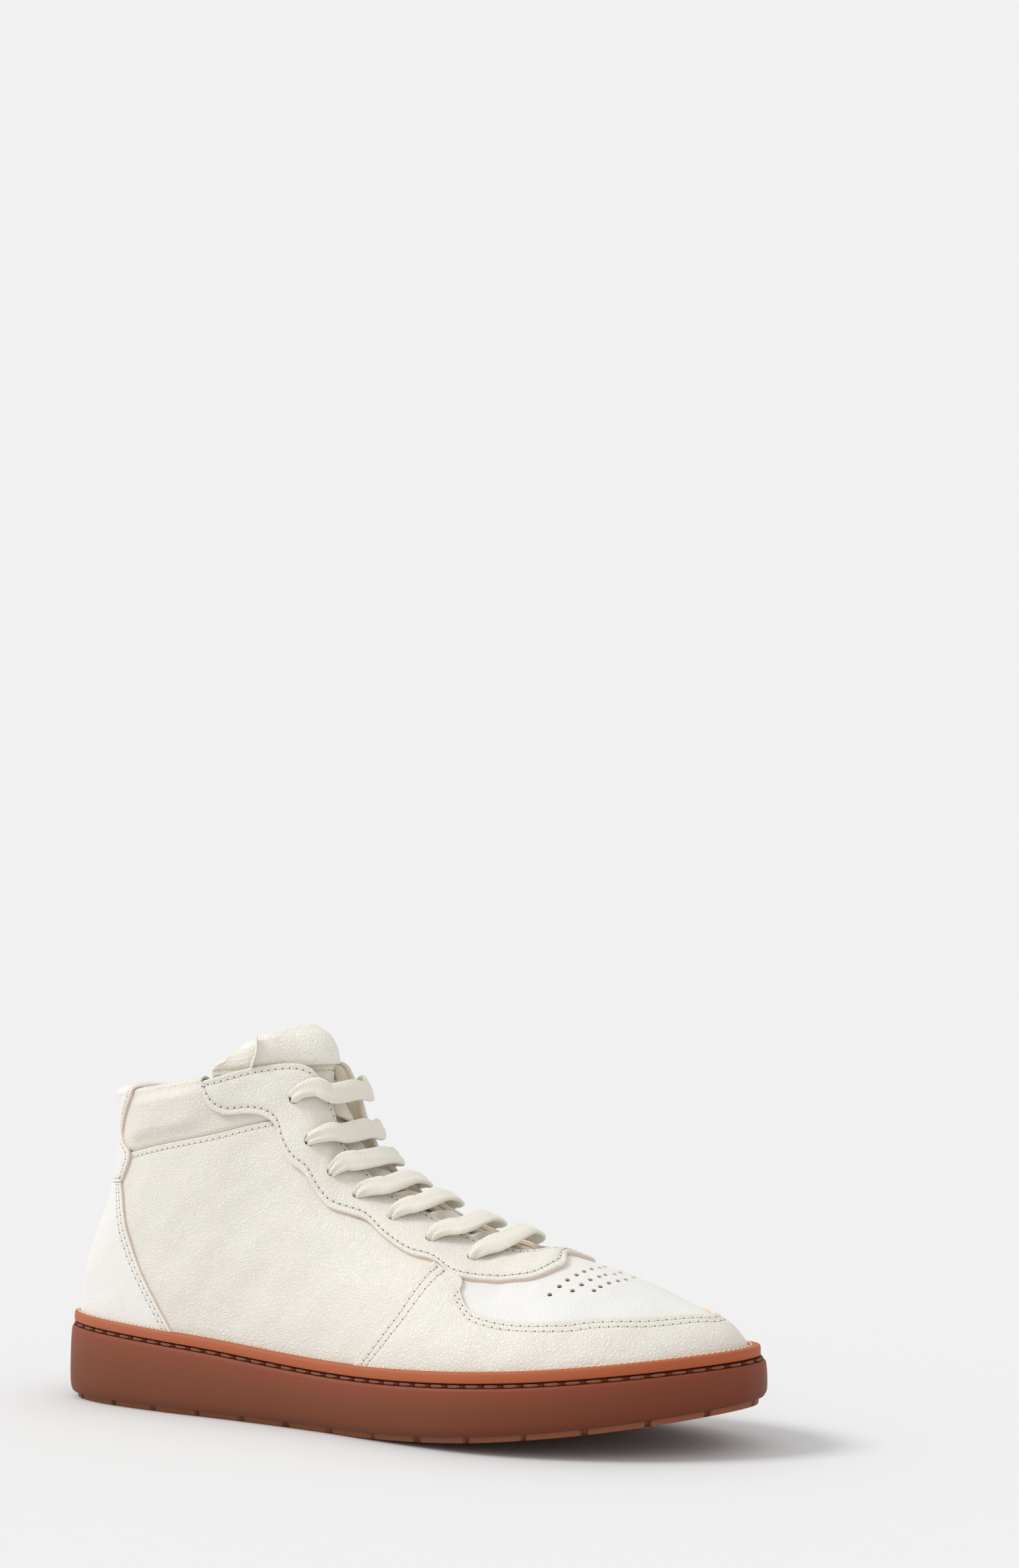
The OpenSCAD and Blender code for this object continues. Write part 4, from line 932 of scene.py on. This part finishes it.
def eyestay_spot(k, r, d):
    side, h = both(k)
    e = EYESTAY(h)
    u = e[..., 0] + (e[..., 2] - e[..., 0]) * r
    return skin(side, u, np.minimum(1, e[..., 1] + (1 - e[..., 1]) * r), d)


def guard_spot(k, r, d):
    side, h = both(k)
    e = GUARD_ROWS(h)
    r = r * (1 + 0.03 * (1 - fade(0.07, 0.1, h)))
    u = np.minimum(1, e[..., 0] + (e[..., 2] - e[..., 0]) * r)
    return skin(side, u, e[..., 1] + (e[..., 3] - e[..., 1]) * r, d)


def heel_spot(k, r, d):
    t = r * 0.686
    return heel_skin((2 * k - 1) * HEEL_EDGE(t), t, d)


def quarter_spot(side):
    def spot(k, r, d):
        w_ = 0.6 * k + 0.4 * k * k
        top_u = BACK_SEAM + w_ * (0.69 - BACK_SEAM)
        flat_t = np.interp(top_u, [0.3, 0.36, 0.385, 0.41, 0.455, 0.49, 0.568, 0.6, 0.64, 0.69],
                           [0.815, 0.815, 0.75, 0.7, 0.67, 0.68, 0.76, 0.745, 0.725, 0.74])
        top_t = np.where(top_u < 0.3, COLLAR_SEAM(np.maximum(0.1, top_u)), flat_t)
        t = r * top_t
        u1 = SEAM_A(t) + 0.014
        return skin(side, BACK_SEAM + w_ * (u1 - BACK_SEAM), t, d)
    return spot


def vamp_spot(side):
    def spot(k, r, d):
        e = VAMP_ROWS(k)
        t1 = np.where(k >= 5 / 9 - 0.001, 1, np.minimum(1, e[..., 3]))
        u = np.minimum(1, e[..., 0] + (e[..., 2] - e[..., 0]) * r)
        return skin(side, u, e[..., 1] + (t1 - e[..., 1]) * r, d)
    return spot


def collar_lift(u, t):
    k = COLLAR_SEAM(u)
    return (-(LEATHER + 2.5 * GAP) * (1 - fade(k - 0.014, k + 0.016, t))
            + (COLLAR_SWELL + 0.5) * fade(k + 0.01, k + 0.07, t) * (1 - fade(0.96, 1, t))
            * fade(0.125, 0.17, u) * (1 - fade(0.24, 0.29, u)))


ROLL = 3.6


def roll(q, angle, radius):
    p = heel_skin(q, 1 + 0 * q, -ROLL + radius * np.cos(angle))
    p[..., 2] += radius * np.sin(angle) * 0.62
    return p


def lining_depth(u, t):
    return (LINING_OUT - COLLAR_ROOM * fade(0.7, 0.84, t) * (1 - fade(0.262, 0.3, u))
            - 0.15 * (1 - fade(0.1, 0.2, u)) - 0.8 * fade(0.8, 0.95, u)
            - 0.55 * fade(0.68, 0.78, t) * fade(0.2, 0.28, u) * (1 - fade(0.42, 0.455, u)))


# where the collar panel ends under the eyestay: heights, then places along the shoe
PANEL_END = ([0.78, 0.822, 0.83, 0.852, 0.868, 0.905, 0.955, 1],
             [0.378, 0.378, 0.37, 0.345, 0.32, 0.298, 0.284, 0.268])


def over_collar(q_at, low, depth, roll_depth, down):
    """Rows up the outside from t = low, over the rolled top edge and down inside to t = down."""
    def spot(k, r, d):
        out_r, roll_r = 0.6, 0.86
        t_out = low + (1 - low) * np.clip(r / out_r, 0, 1)
        angle = np.pi * np.clip((r - out_r) / (roll_r - out_r), 0, 1)
        t_in = 1 - (1 - down) * np.clip((r - roll_r) / (1 - roll_r), 0, 1)
        q = q_at(k, np.where(r < out_r, t_out, 1.0))
        u = np.abs(q)
        outside = heel_skin(q, t_out, depth(u, t_out) + d)
        rolled = roll(q, angle, ROLL + roll_depth + d)
        inside = heel_skin(q, t_in, -2 * ROLL - roll_depth - d + 0 * q)
        return np.where((r < out_r)[..., None], outside, np.where((r < roll_r)[..., None], rolled, inside))
    return spot


def collar_q(side):
    def q_at(k, t):
        return side * (BACK_SEAM + (np.interp(t, *PANEL_END) - BACK_SEAM) * k)
    return q_at


ROWS = (1.9, 3.9)  # a double seam's two rows, from the edge of the leather
SHORT_STITCH, LONG_STITCH = 2.8, 3.3
SINGLE = 2.0
pair_rows = lambda x: channel(x, ROWS)

panels = {}
panels["eyestay"] = Panel(eyestay_spot, 380, 64, OVERLAY + 0.25, 0.02, (1, 1, 1, 1), 0.7,
                          lambda k, r, e: channel(e[2], (2.7,)) + channel(e[3], (2.4,), 0.22)
                          + 0.25 * fade(2.5, 6, e[2]) * fade(2, 6, e[3]))
panels["mudguard"] = Panel(guard_spot, 420, 60, OVERLAY - 0.15, 0.02, (1, 1, 0, 1), 0.6,
                           lambda k, r, e: pair_rows(e[3]) + pair_rows(e[0]) + pair_rows(e[1]))
panels["heel_panel"] = Panel(heel_spot, 200, 80, OVERLAY - 0.15, 0.02, (1, 1, 0, 1), 0.6,
                             lambda k, r, e: pair_rows(e[0]) + pair_rows(e[1]))
for side, name in ((-1, "quarter_lateral"), (1, "quarter_medial")):
    panels[name] = Panel(quarter_spot(side), 210, 90, 0.0, -LEATHER, (0, 0, 0, 1), 0.6,
                         lambda k, r, e: channel(e[3], (1.9,)))
tab_q = lambda k, t: (2 * k - 1) * TAB_EDGE(np.maximum(t, 0.69))
panels["heel_tab"] = Panel(over_collar(tab_q, 0.688, lambda u, t: GAP + 0 * u, 2 * GAP, 0.93), 90, 90,
                           OVERLAY - 0.4, -0.3, (1, 1, 1, 1), 0.6,
                           lambda k, r, e: sum(channel(x, (SINGLE,)) for x in e[:3]))
for side, name in ((-1, "collar_panel_lateral"), (1, "collar_panel_medial")):
    panels[name] = Panel(over_collar(collar_q(side), 0.785, collar_lift, 0.0, 0.9), 150, 90, 0.0, -LEATHER,
                         (0, 0, 0, 1), 0.6)
looks = {"eyestay": (GUARD, EDGE, "overlay_leather"), "mudguard": (GUARD, EDGE, "overlay_leather"),
         "heel_panel": (HEEL, EDGE, "overlay_leather"), "heel_tab": (HEEL, EDGE, "overlay_leather"),
         "quarter_lateral": (QUARTER, EDGE, "quarter_leather"),
         "quarter_medial": (QUARTER, EDGE, "quarter_leather"),
         "collar_panel_lateral": (COLLAR, COLLAR, "collar_leather"),
         "collar_panel_medial": (COLLAR, COLLAR, "collar_leather")}
shown = {}
for name, panel in panels.items():
    face, side_wall, slot = looks[name]
    s = Solid()
    panel.into(s)
    shown[name] = s.make(name, [face, side_wall], slot=slot, stands_for=(name,), merge=0.0005)

s = Solid()
vamp_k = np.linspace(0, 1, 180)
vamp_r = np.linspace(0, 1, 70)
kk, rr = np.meshgrid(vamp_k, vamp_r, indexing="ij")
open_rows = int(np.sum(vamp_k < 5 / 9))
for side in (-1, 1):
    out, inn = vamp_spot(side)(kk, rr, 0 * kk), vamp_spot(side)(kk, rr, 0 * kk - LEATHER)
    a, b = s.grid(out, 0), s.grid(inn, 0)
    s.strip(a[0], b[0])
    s.strip(a[:, 0], b[:, 0])
    s.strip(a[:open_rows + 1, -1], b[:open_rows + 1, -1])
shown["vamp"] = s.make("vamp", [VAMP, EDGE], slot="vamp_leather", stands_for=("vamp",), merge=0.002)

# linings
s = Solid()
for side in (-1, 1):
    us, ts = np.linspace(0, 1, 240), np.linspace(0, 1, 60)
    uu, tt = np.meshgrid(us, ts, indexing="ij")
    top = np.where(uu < 0.27, 0.965, np.where(uu < RIDGE, 0.985, 1.0))
    tt = tt * top
    deep = lining_depth(uu, tt)
    sheet(s, skin(side, uu, tt, deep), skin(side, uu, tt, deep - 1.0), (0, 0, 1, 1))
    # the binding round the throat
    ts = np.array([0.945, 0.955, 0.965, 0.975, 0.983, 0.988, 0.991, 0.9925])
    uu, tt = np.meshgrid(np.linspace(0.288, 0.838, 260), ts, indexing="ij")
    tuck = np.array([0, 0, 0, 0, 0.05, 0.3, 0.9, 2.2])[None]
    sheet(s, skin(side, uu, tt, 0.4 - tuck), skin(side, uu, tt, lining_depth(uu, tt) - 1.08 + tuck))
s.make("lining", [LINING], slot="lining_cloth", stands_for=("quarter_lining", "vamp_lining"), merge=0.002)
s = Solid()
qq, tt = np.meshgrid(np.linspace(-0.15, 0.15, 60), np.linspace(0.2, 0.66, 50), indexing="ij")
grip = lining_depth(np.abs(qq), tt) - 1.5
sheet(s, heel_skin(qq, tt, grip), heel_skin(qq, tt, grip - 0.8))
s.make("heel_grip", [SUEDE], slot="suede", stands_for=("heel_grip",))

# ---------------------------------------------------------------- stitching on the upper
# the upper's stitches end in dark discs of painted shade
upper_row = dict(thread=THREAD, hole=(NEEDLE_HOLE_SHADE, 0.34))
UNDER_FACE = OVERLAY - 0.38
eyestay_lines = [panels["eyestay"].line(x=x, lo=0.004, hi=0.996, n=1500, depth=OVERLAY + above)
                 for x, above in ((2.7, 0.1), (-2.4, 0.12))]
stitches("stitches_eyestay", eyestay_lines,
         pitch=SHORT_STITCH, slot="overlay_leather", **upper_row)
BOTH_ENDS = (*ROWS, -ROWS[0], -ROWS[1])
guard_lines = [panels["mudguard"].line(x=-x, lo=0.075, hi=0.925, n=1600, depth=UNDER_FACE) for x in ROWS]
guard_lines += [panels["mudguard"].line(y=y, lo=0.07, hi=0.965, depth=UNDER_FACE) for y in BOTH_ENDS]
stitches("stitches_mudguard", guard_lines, pitch=LONG_STITCH, slot="overlay_leather", **upper_row)
heel_lines = [panels["heel_panel"].line(y=y, lo=0.1, hi=0.985, depth=UNDER_FACE) for y in BOTH_ENDS]
stitches("stitches_heel_panel", heel_lines, pitch=LONG_STITCH, slot="overlay_leather", **upper_row)
tab_lines = [panels["heel_tab"].line(y=y, lo=0.03, hi=0.97, depth=OVERLAY - 0.6) for y in (SINGLE, -SINGLE)]
tab_lines += [panels["heel_tab"].line(x=SINGLE, lo=0.02, hi=0.98, depth=OVERLAY - 0.6)]
stitches("stitches_heel_tab", tab_lines, pitch=SHORT_STITCH, slot="overlay_leather", **upper_row)
seam_lines = [panels[q].line(x=-ROWS[0], lo=0.22, hi=0.6, depth=-0.2)
              for q in ("quarter_lateral", "quarter_medial")]
stitches("stitches_collar_seam", seam_lines, pitch=SHORT_STITCH, slot="quarter_leather", **upper_row)

# ---------------------------------------------------------------- tongue
TONGUE_DEPTH = -4.4 - 4.6
FOLD = 0.865


def throat_row(u, edge_u, edge_t):
    f = lambda side, u, t, d: skin(side, np.array(u, float), np.array(t, float), d)
    a, b = f(-1, u, 0.97, TONGUE_DEPTH), f(1, u, 0.97, TONGUE_DEPTH)
    n = unit(f(-1, u, 0.97, 0) - a + f(1, u, 0.97, 0) - b)
    row = [f(-1, edge_u, edge_t, TONGUE_DEPTH), a, (a + b) / 2 + n * 2, b, f(1, edge_u, edge_t, TONGUE_DEPTH)]
    return np.array(row)


def top_row(edge, mid, centre):
    return np.array([[edge[0], -edge[1], edge[2]], [mid[0], -mid[1], mid[2]], centre, mid, edge], float)


TONGUE_ROWS = Curve([(k, row.ravel()) for k, row in (
    (0, throat_row(0.8, 0.79, 0.86)), (0.13, throat_row(0.75, 0.74, 0.79)),
    (0.27, throat_row(0.68, 0.68, 0.76)),
    (0.41, throat_row(0.6, 0.6, 0.73)), (0.55, throat_row(0.52, 0.51, 0.66)),
    (0.68, throat_row(0.455, 0.43, 0.64)), (0.78, throat_row(0.425, 0.355, 0.72)),
    (FOLD, top_row([75, 21.4, 128], [100, 13.7, 131], [118, 0, 131.5])),
    (0.93, top_row([80, 21, 135.5], [100.5, 13.5, 140.5], [114.5, 0, 141.5])),
    (1, top_row([85.5, 18, TONGUE_Z - 8.3], [97, 11, TONGUE_Z - 2.2], [105, 0, TONGUE_Z])))])
ACROSS = np.array([-1, -0.42, 0, 0.42, 1])


def tongue_face(s_, r):
    row = TONGUE_ROWS(s_).reshape(np.shape(s_) + (5, 3))
    i = np.clip(np.searchsorted(ACROSS, r, side="right") - 1, 0, 3)
    a, b = np.maximum(np.arange(5) - 1, 0), np.minimum(np.arange(5) + 1, 4)
    slope = (row[..., b, :] - row[..., a, :]) / (ACROSS[b] - ACROSS[a])[:, None]
    pick = lambda arr, j: np.take_along_axis(arr, j[..., None, None], -2)[..., 0, :]
    h = (ACROSS[i + 1] - ACROSS[i])[..., None]
    q = (r - ACROSS[i])[..., None] / h
    return (pick(row, i) * (2 * q**3 - 3 * q**2 + 1) + pick(slope, i) * h * (q**3 - 2 * q**2 + q)
            + pick(row, i + 1) * (3 * q**2 - 2 * q**3) + pick(slope, i + 1) * h * (q**3 - q**2))


def tongue_skin(s_, r, d):
    s_, r, d = np.broadcast_arrays(np.asarray(s_, float), r, d)
    e = 0.01
    n = unit(np.cross(tongue_face(s_, np.minimum(1, r + e)) - tongue_face(s_, np.maximum(-1, r - e)),
                      tongue_face(np.minimum(1, s_ + e), r) - tongue_face(np.maximum(0, s_ - e), r)))
    p = tongue_face(s_, r)
    wave = sum(size * 1.3 * np.sin(p @ k + f + 1.0) for k, size, f in WAVES)
    return p + n * (d + wave * fade(0.3, 0.8, s_))[..., None]


def padding(s_, r):
    k = (s_ - FOLD) / (1 - FOLD)
    return 4.5 * fade(0, 0.35, 1 - np.abs(r)) * fade(0, 0.4, 1 - k) * fade(0, 0.25, k)


s = Solid()
ss = np.r_[np.linspace(0, FOLD - 0.03, 130), np.linspace(FOLD - 0.027, 1, 90)]
rr = np.sin(np.linspace(-1, 1, 110) * np.pi / 2)
S, R = np.meshgrid(ss, rr, indexing="ij")
rim = np.minimum(1, np.minimum((1 - np.abs(R)) / 0.035, (1 - S) / 0.012))
thick = 0.5 + 1.1 * np.sqrt(np.maximum(0, 1 - (1 - rim) ** 2))
puff = padding(S, R)
rise = 5.4 * fade(0.02, 0.14, S) * (1 - fade(0.78, 0.86, S)) * (1 - R * R)
seams = -0.9 * np.exp(-((S - FOLD) / 0.0045) ** 2) - 0.35 * np.exp(-((S - FOLD - 0.014) / 0.005) ** 2)
outer = tongue_skin(S, R, -0.7 + thick * 0.5 + 0.22 * puff + rise + seams * rim)
inner = tongue_skin(S, R, -1.9 - thick * 0.5 - 0.75 * puff + rise)
sheet(s, outer, inner, mats=(0, 1, 0))
tongue = s.make("tongue", [TONGUE, LINING], body=None, slot="tongue_leather", sharp=70)
at = lambda x, y, z: tuple((np.array([x, y, z]) + SHIFT) * MM)
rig.blend(tongue, "shoe", "tongue_top", at(120, 0, 126.5), at(117, 0, 134.5))
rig.replaces(tongue, "tongue_panel", "tongue_top", "tongue_lining", "tongue_top_lining", "tongue_top_foam")


def tongue_line(s_, r, depth):
    p = tongue_skin(s_, r, depth + 0 * r)
    return p, unit(tongue_skin(s_, r, depth + 1 + 0 * r) - p)


r_line = np.linspace(-0.55, 0.9, 300)
fold_rows = [tongue_line(FOLD + at_fold + 0 * r_line, r_line, depth)
             for at_fold, depth in ((0.006, -0.25), (-0.009, -0.1))]
fold_thread = stitches("stitches_tongue_fold", fold_rows, None, pitch=SHORT_STITCH, slot="tongue_leather",
                       **upper_row)
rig.blend(fold_thread, "shoe", "tongue_top", at(120, 0, 126.5), at(117, 0, 134.5))

# pull band: a wide leather loop whose free lateral edge curls out
BAND_FIXED, BAND_FREE = 0.34, -0.62
BAND_WIDTH, CURL = 29.0, 3.0


def band_spot(k, r, d):
    s_ = 0.882 + (0.114 - 0.046 * fade(0.2, 1, r)) * k
    turn = 2.3 * np.maximum(0, (r - 0.86) / 0.14)
    along_ = np.minimum(r, 0.86) + CURL * np.sin(turn) / BAND_WIDTH
    across_ = BAND_FIXED + (BAND_FREE - BAND_FIXED) * along_
    lift = CURL * (1 - np.cos(turn)) * (0.7 + 0.3 * k) + 1.2 * fade(0.6, 0.86, r)
    over = 0.35 + 0.22 * padding(s_, across_)
    return tongue_skin(s_, across_, d + over * np.minimum(1, 8 * r) + lift)


band = Panel(band_spot, 40, 90, 1.5, 0.3, (1, 1, 1, 1), 0.5)
s = Solid()
band.into(s, mats=(0, 1, 1))
s.make("pull_band", [TONGUE, FLESH], "pull_band", slot="tongue_leather", stands_for=("tongue_pull_band",))


def keeper_spot(k, r, d):
    return tongue_skin(0.72 + 0.07 * k, -0.3 + 0.6 * r, d)


keeper = Panel(keeper_spot, 22, 40, 1.7, 0.5, (1, 1, 1, 1), 0.45)
s = Solid()
keeper.into(s)
s.make("lace_keeper", [TONGUE, EDGE], slot="tongue_leather", stands_for=("lace_keeper",))

# ---------------------------------------------------------------- lace
THROAT = [0.455, 0.512, 0.562, 0.612, 0.665, 0.722, 0.775]
UNDER = -4.4 - 1 - 0.95


def hole_at(side, i, d):
    return skin(side, np.array(EYELETS[i][0]), np.array(EYELETS[i][1]), d)


def shelf(side, i, f, d):
    u, t = EYELETS[i]
    return skin(side, np.array(u + (THROAT[i] - u) * f), np.array(t + (1 - t) * f), d)


def up_throat(side, i):
    return unit(hole_at(side, max(0, i - 1), 0) - hole_at(side, min(6, i + 1), 0))


def outward(side, i):
    return unit(hole_at(side, i, 1) - hole_at(side, i, 0))


def middle(i, j, d, rise):
    return (shelf(1, i, 1, d) + shelf(-1, j, 1, d)) / 2 + unit(outward(1, i) + outward(-1, j)) * rise


def strand(solid, rows, n=70, seed=0, crumple=1.0):
    """A soft flat lace through rows of (centre, width direction, width, thickness)."""
    c = np.array([r[0] for r in rows])
    run = run_of(c)
    key = np.concatenate([c, np.array([r[1] for r in rows]), np.array([[r[2], r[3]] for r in rows])], 1)
    path = Curve(list(zip(run, key)))
    at_ = np.linspace(0, run[-1], n)
    v = path(at_)
    centre, wide, size = v[:, :3], v[:, 3:6], v[:, 6:8]
    t = unit(np.gradient(centre, axis=0))
    wide = unit(wide - t * (wide * t).sum(1, keepdims=True))
    up = np.cross(wide, t)
    ang = np.linspace(0, 2 * np.pi, 33)[:-1]
    cx = np.sign(np.cos(ang)) * np.abs(np.cos(ang)) ** 0.75
    cy = np.sign(np.sin(ang)) * np.abs(np.sin(ang)) ** 0.8
    tight = 1 - fade(5.0, 8.0, size[:, 0])
    wander = np.sin(cx[None] * (5.2 + seed % 3) + 0.11 * at_[:, None] + seed * 1.7)
    ripple = (0.16 + 0.5 * tight[:, None]) * crumple * wander
    ripple = ripple + 0.12 * np.sin(0.55 * at_[:, None] + 2.0 * cx[None] + seed)
    body = cy[None] * size[:, 1:2] / 2 + ripple * np.abs(cy[None]) ** 0.6 * 0.8
    over = cx[None] * size[:, :1] / 2
    p = centre[:, None] + wide[:, None] * over[..., None] + up[:, None] * body[..., None]
    idx = solid.grid(p, 0, (False, True), along=at_[:, None], over=over)
    for e in (idx[0], idx[-1]):
        solid.lid(e)


def through(side, i):
    v = up_throat(side, i)
    return [(hole_at(side, i, -5.5), v, 3.9, 3.6), (hole_at(side, i, -2.0), v, 4.1, 3.7),
            (hole_at(side, i, 0.8), v, 4.3, 3.6), (shelf(side, i, 0.04, OVERLAY + 1.5), v, 4.9, 3.4),
            (shelf(side, i, 0.2, OVERLAY + 2.9), v, 6.4, 3.1),
            (shelf(side, i, 0.5, OVERLAY + 3.6), v, 8.0, 2.8),
            (shelf(side, i, 0.9, OVERLAY + 4.0), v, 8.8, 2.6)]


s = Solid()
for i in range(7):
    crossing = [(middle(i, i, OVERLAY + 3.6, 3.0), up_throat(1, i), 8.9, 2.5)]
    strand(s, through(-1, i) + crossing + through(1, i)[::-1], 110, seed=i)
for i in range(1, 7):
    v = up_throat(1, i)
    ends = [[(shelf(side, j, 0.15, UNDER), v, 4.0, 1.9), (shelf(side, j, 0.8, UNDER + 1.2), v, 7, 2.0)]
            for side, j in ((1, i), (-1, i - 1))]
    strand(s, ends[0] + [(middle(i, i - 1, TONGUE_DEPTH, 2 + 7.4), v, 8.2, 2.6)] + ends[1][::-1], 60,
           seed=i + 10, crumple=0.6)
s.make("shoelace", [LACE], slot="lace_cotton", stands_for=("shoelace",), sharp=80)

# ---------------------------------------------------------------- punched holes
def punch(target, rods, name):
    """Cuts round holes into a panel."""
    s_ = Solid()
    ang = np.linspace(0, 2 * np.pi, 17)[:-1]
    for centre, n, radius, reach in rods:
        n = unit(np.asarray(n))
        a_ = unit(np.cross(n, [0.3, 0.9, 0.1]))
        b_ = np.cross(n, a_)
        ring = np.cos(ang)[:, None] * a_ + np.sin(ang)[:, None] * b_
        idx = s_.grid(np.array([centre + n * h + radius * ring for h in (-reach, reach)]), 0, (False, True))
        for e in idx:
            s_.lid(e)
    tool = s_.make(name, [EDGE], body=None)
    mod = target.modifiers.new("holes", "BOOLEAN")
    mod.operation, mod.solver, mod.object = "DIFFERENCE", "EXACT", tool
    before = len(target.data.vertices)
    dg = bpy.context.evaluated_depsgraph_get()
    cut_mesh = bpy.data.meshes.new_from_object(target.evaluated_get(dg))
    target.modifiers.clear()
    if len(cut_mesh.vertices) > 0.9 * before:
        old = target.data
        target.data = cut_mesh
        bpy.data.meshes.remove(old)
    bpy.data.objects.remove(tool)


EYELET_RADIUS, VENT_RADIUS = 2.35, 0.92
rods = [(hole_at(side, i, OVERLAY), outward(side, i), EYELET_RADIUS, 2.6)
        for side in (-1, 1) for i in range(len(EYELETS))]
punch(shown["eyestay"], rods, "eyelet_cutters")

# ventilation holes: rows that narrow towards the toe, each at a place along the ridge
HOLE_ROWS = [(238.7, 0.335, (1.9, 5.6, 9.3, 12.9, 16.8, 20.5, 24.8)),
             (245.1, 0.39, (2.2, 6.0, 9.1, 12.7, 16.8, 20.6)),
             (250.4, 0.39, (2.8, 6.5, 10.3, 13.9, 17.2))]


def on_vamp(x_want, y_off):
    """The point of the vamp at a length x and y_off to either side of the ridge, found by search."""
    uu, tt = np.meshgrid(np.linspace(0.78, 1, 111), np.linspace(0.55, 1, 91), indexing="ij")
    found = []
    for side in (-1, 1):
        p = skin(side, uu, tt, 0 * uu)
        miss = (p[..., 0] - x_want) ** 2 + (p[..., 1] - (centre_y(x_want) + side * y_off)) ** 2
        i = np.unravel_index(np.argmin(miss), miss.shape)
        found.append((side, uu[i], tt[i]))
    return found


rods = []
for x_row, slant, offsets in HOLE_ROWS:
    for off in offsets:
        for side, u0, t0 in on_vamp(x_row - slant * off, off):
            u0, t0 = np.array(u0), np.array(t0)
            p0 = skin(side, u0, t0, 0.0)
            rods.append((p0, unit(skin(side, u0, t0, 1.0) - p0), VENT_RADIUS, 2.2))
punch(shown["vamp"], rods, "vent_cutters")

# ---------------------------------------------------------------- hidden CAD parts get their real finish
HIDDEN = {"midsole_foam": FOAM, "insole_board": BOARD, "footbed_foam": FOAM, "toe_puff": STIFF,
          "heel_counter": STIFF, "collar_foam": FOAM, "eyestay_backing": BACKING, "lace_tips": TIP}
for name, mat in HIDDEN.items():
    obj = frame["nodes"][name]
    if not obj.material_slots:
        obj.data.materials.append(mat)
    for slot_ in obj.material_slots:
        slot_.material = mat

# ---------------------------------------------------------------- floor, light, camera
me = bpy.data.meshes.new("floor")
me.from_pydata([(-60, -30, 0), (60, -30, 0), (60, 90, 0), (-60, 90, 0)], [], [(0, 1, 2, 3)])
floor = bpy.data.objects.new("floor", me)
bpy.context.scene.collection.objects.link(floor)
n = Nodes("studio_floor")
me.materials.append(n.finish((FLOOR_TONE, FLOOR_TONE, FLOOR_TONE, 1), 1.0, Specular_IOR_Level=0.0))
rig.stage(floor)

world = bpy.data.worlds.new("studio")
bpy.context.scene.world = world
world.use_nodes = True
tree = world.node_tree
ground_node = tree.nodes["Background"]
ground_node.inputs[0].default_value = (1, 1, 1, 1)
ground_node.inputs[1].default_value = SKY
seen = tree.nodes.new("ShaderNodeBackground")
seen.inputs[0].default_value = (BACKDROP, BACKDROP, BACKDROP, 1)
path = tree.nodes.new("ShaderNodeLightPath")
both_ = tree.nodes.new("ShaderNodeMixShader")
tree.links.new(path.outputs["Is Camera Ray"], both_.inputs[0])
tree.links.new(ground_node.outputs[0], both_.inputs[1])
tree.links.new(seen.outputs[0], both_.inputs[2])
tree.links.new(both_.outputs[0], tree.nodes["World Output"].inputs[0])


def sun(name, source, strength, spread):
    data = bpy.data.lights.new(name, "SUN")
    data.energy, data.angle = strength, spread
    lamp = bpy.data.objects.new(name, data)
    bpy.context.scene.collection.objects.link(lamp)
    lamp.rotation_mode = "QUATERNION"
    lamp.rotation_quaternion = (-Vector(source)).to_track_quat("-Z", "Y")


sun("key", KEY_FROM, KEY, KEY_SPREAD)

YAW, PITCH, LENS = 0.54797, 0.08388, 57.152
cam = bpy.data.cameras.new("camera")
cam.lens, cam.sensor_width = LENS, 36.0
cam_obj = bpy.data.objects.new("camera", cam)
bpy.context.scene.collection.objects.link(cam_obj)
cam_obj.location = (0.5409, -0.8038, 0.1619)
look = Vector((-math.sin(YAW) * math.cos(PITCH), math.cos(YAW) * math.cos(PITCH), math.sin(PITCH)))
cam_obj.rotation_mode = "QUATERNION"
cam_obj.rotation_quaternion = look.to_track_quat("-Z", "Y")
bpy.context.scene.camera = cam_obj
bpy.context.scene.view_settings.view_transform = "Standard"

boxes = {"cad": CAD_BOX, "visual": [list(corner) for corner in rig.bounds()]}
with open("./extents.json", "w") as f:
    json.dump(boxes, f)
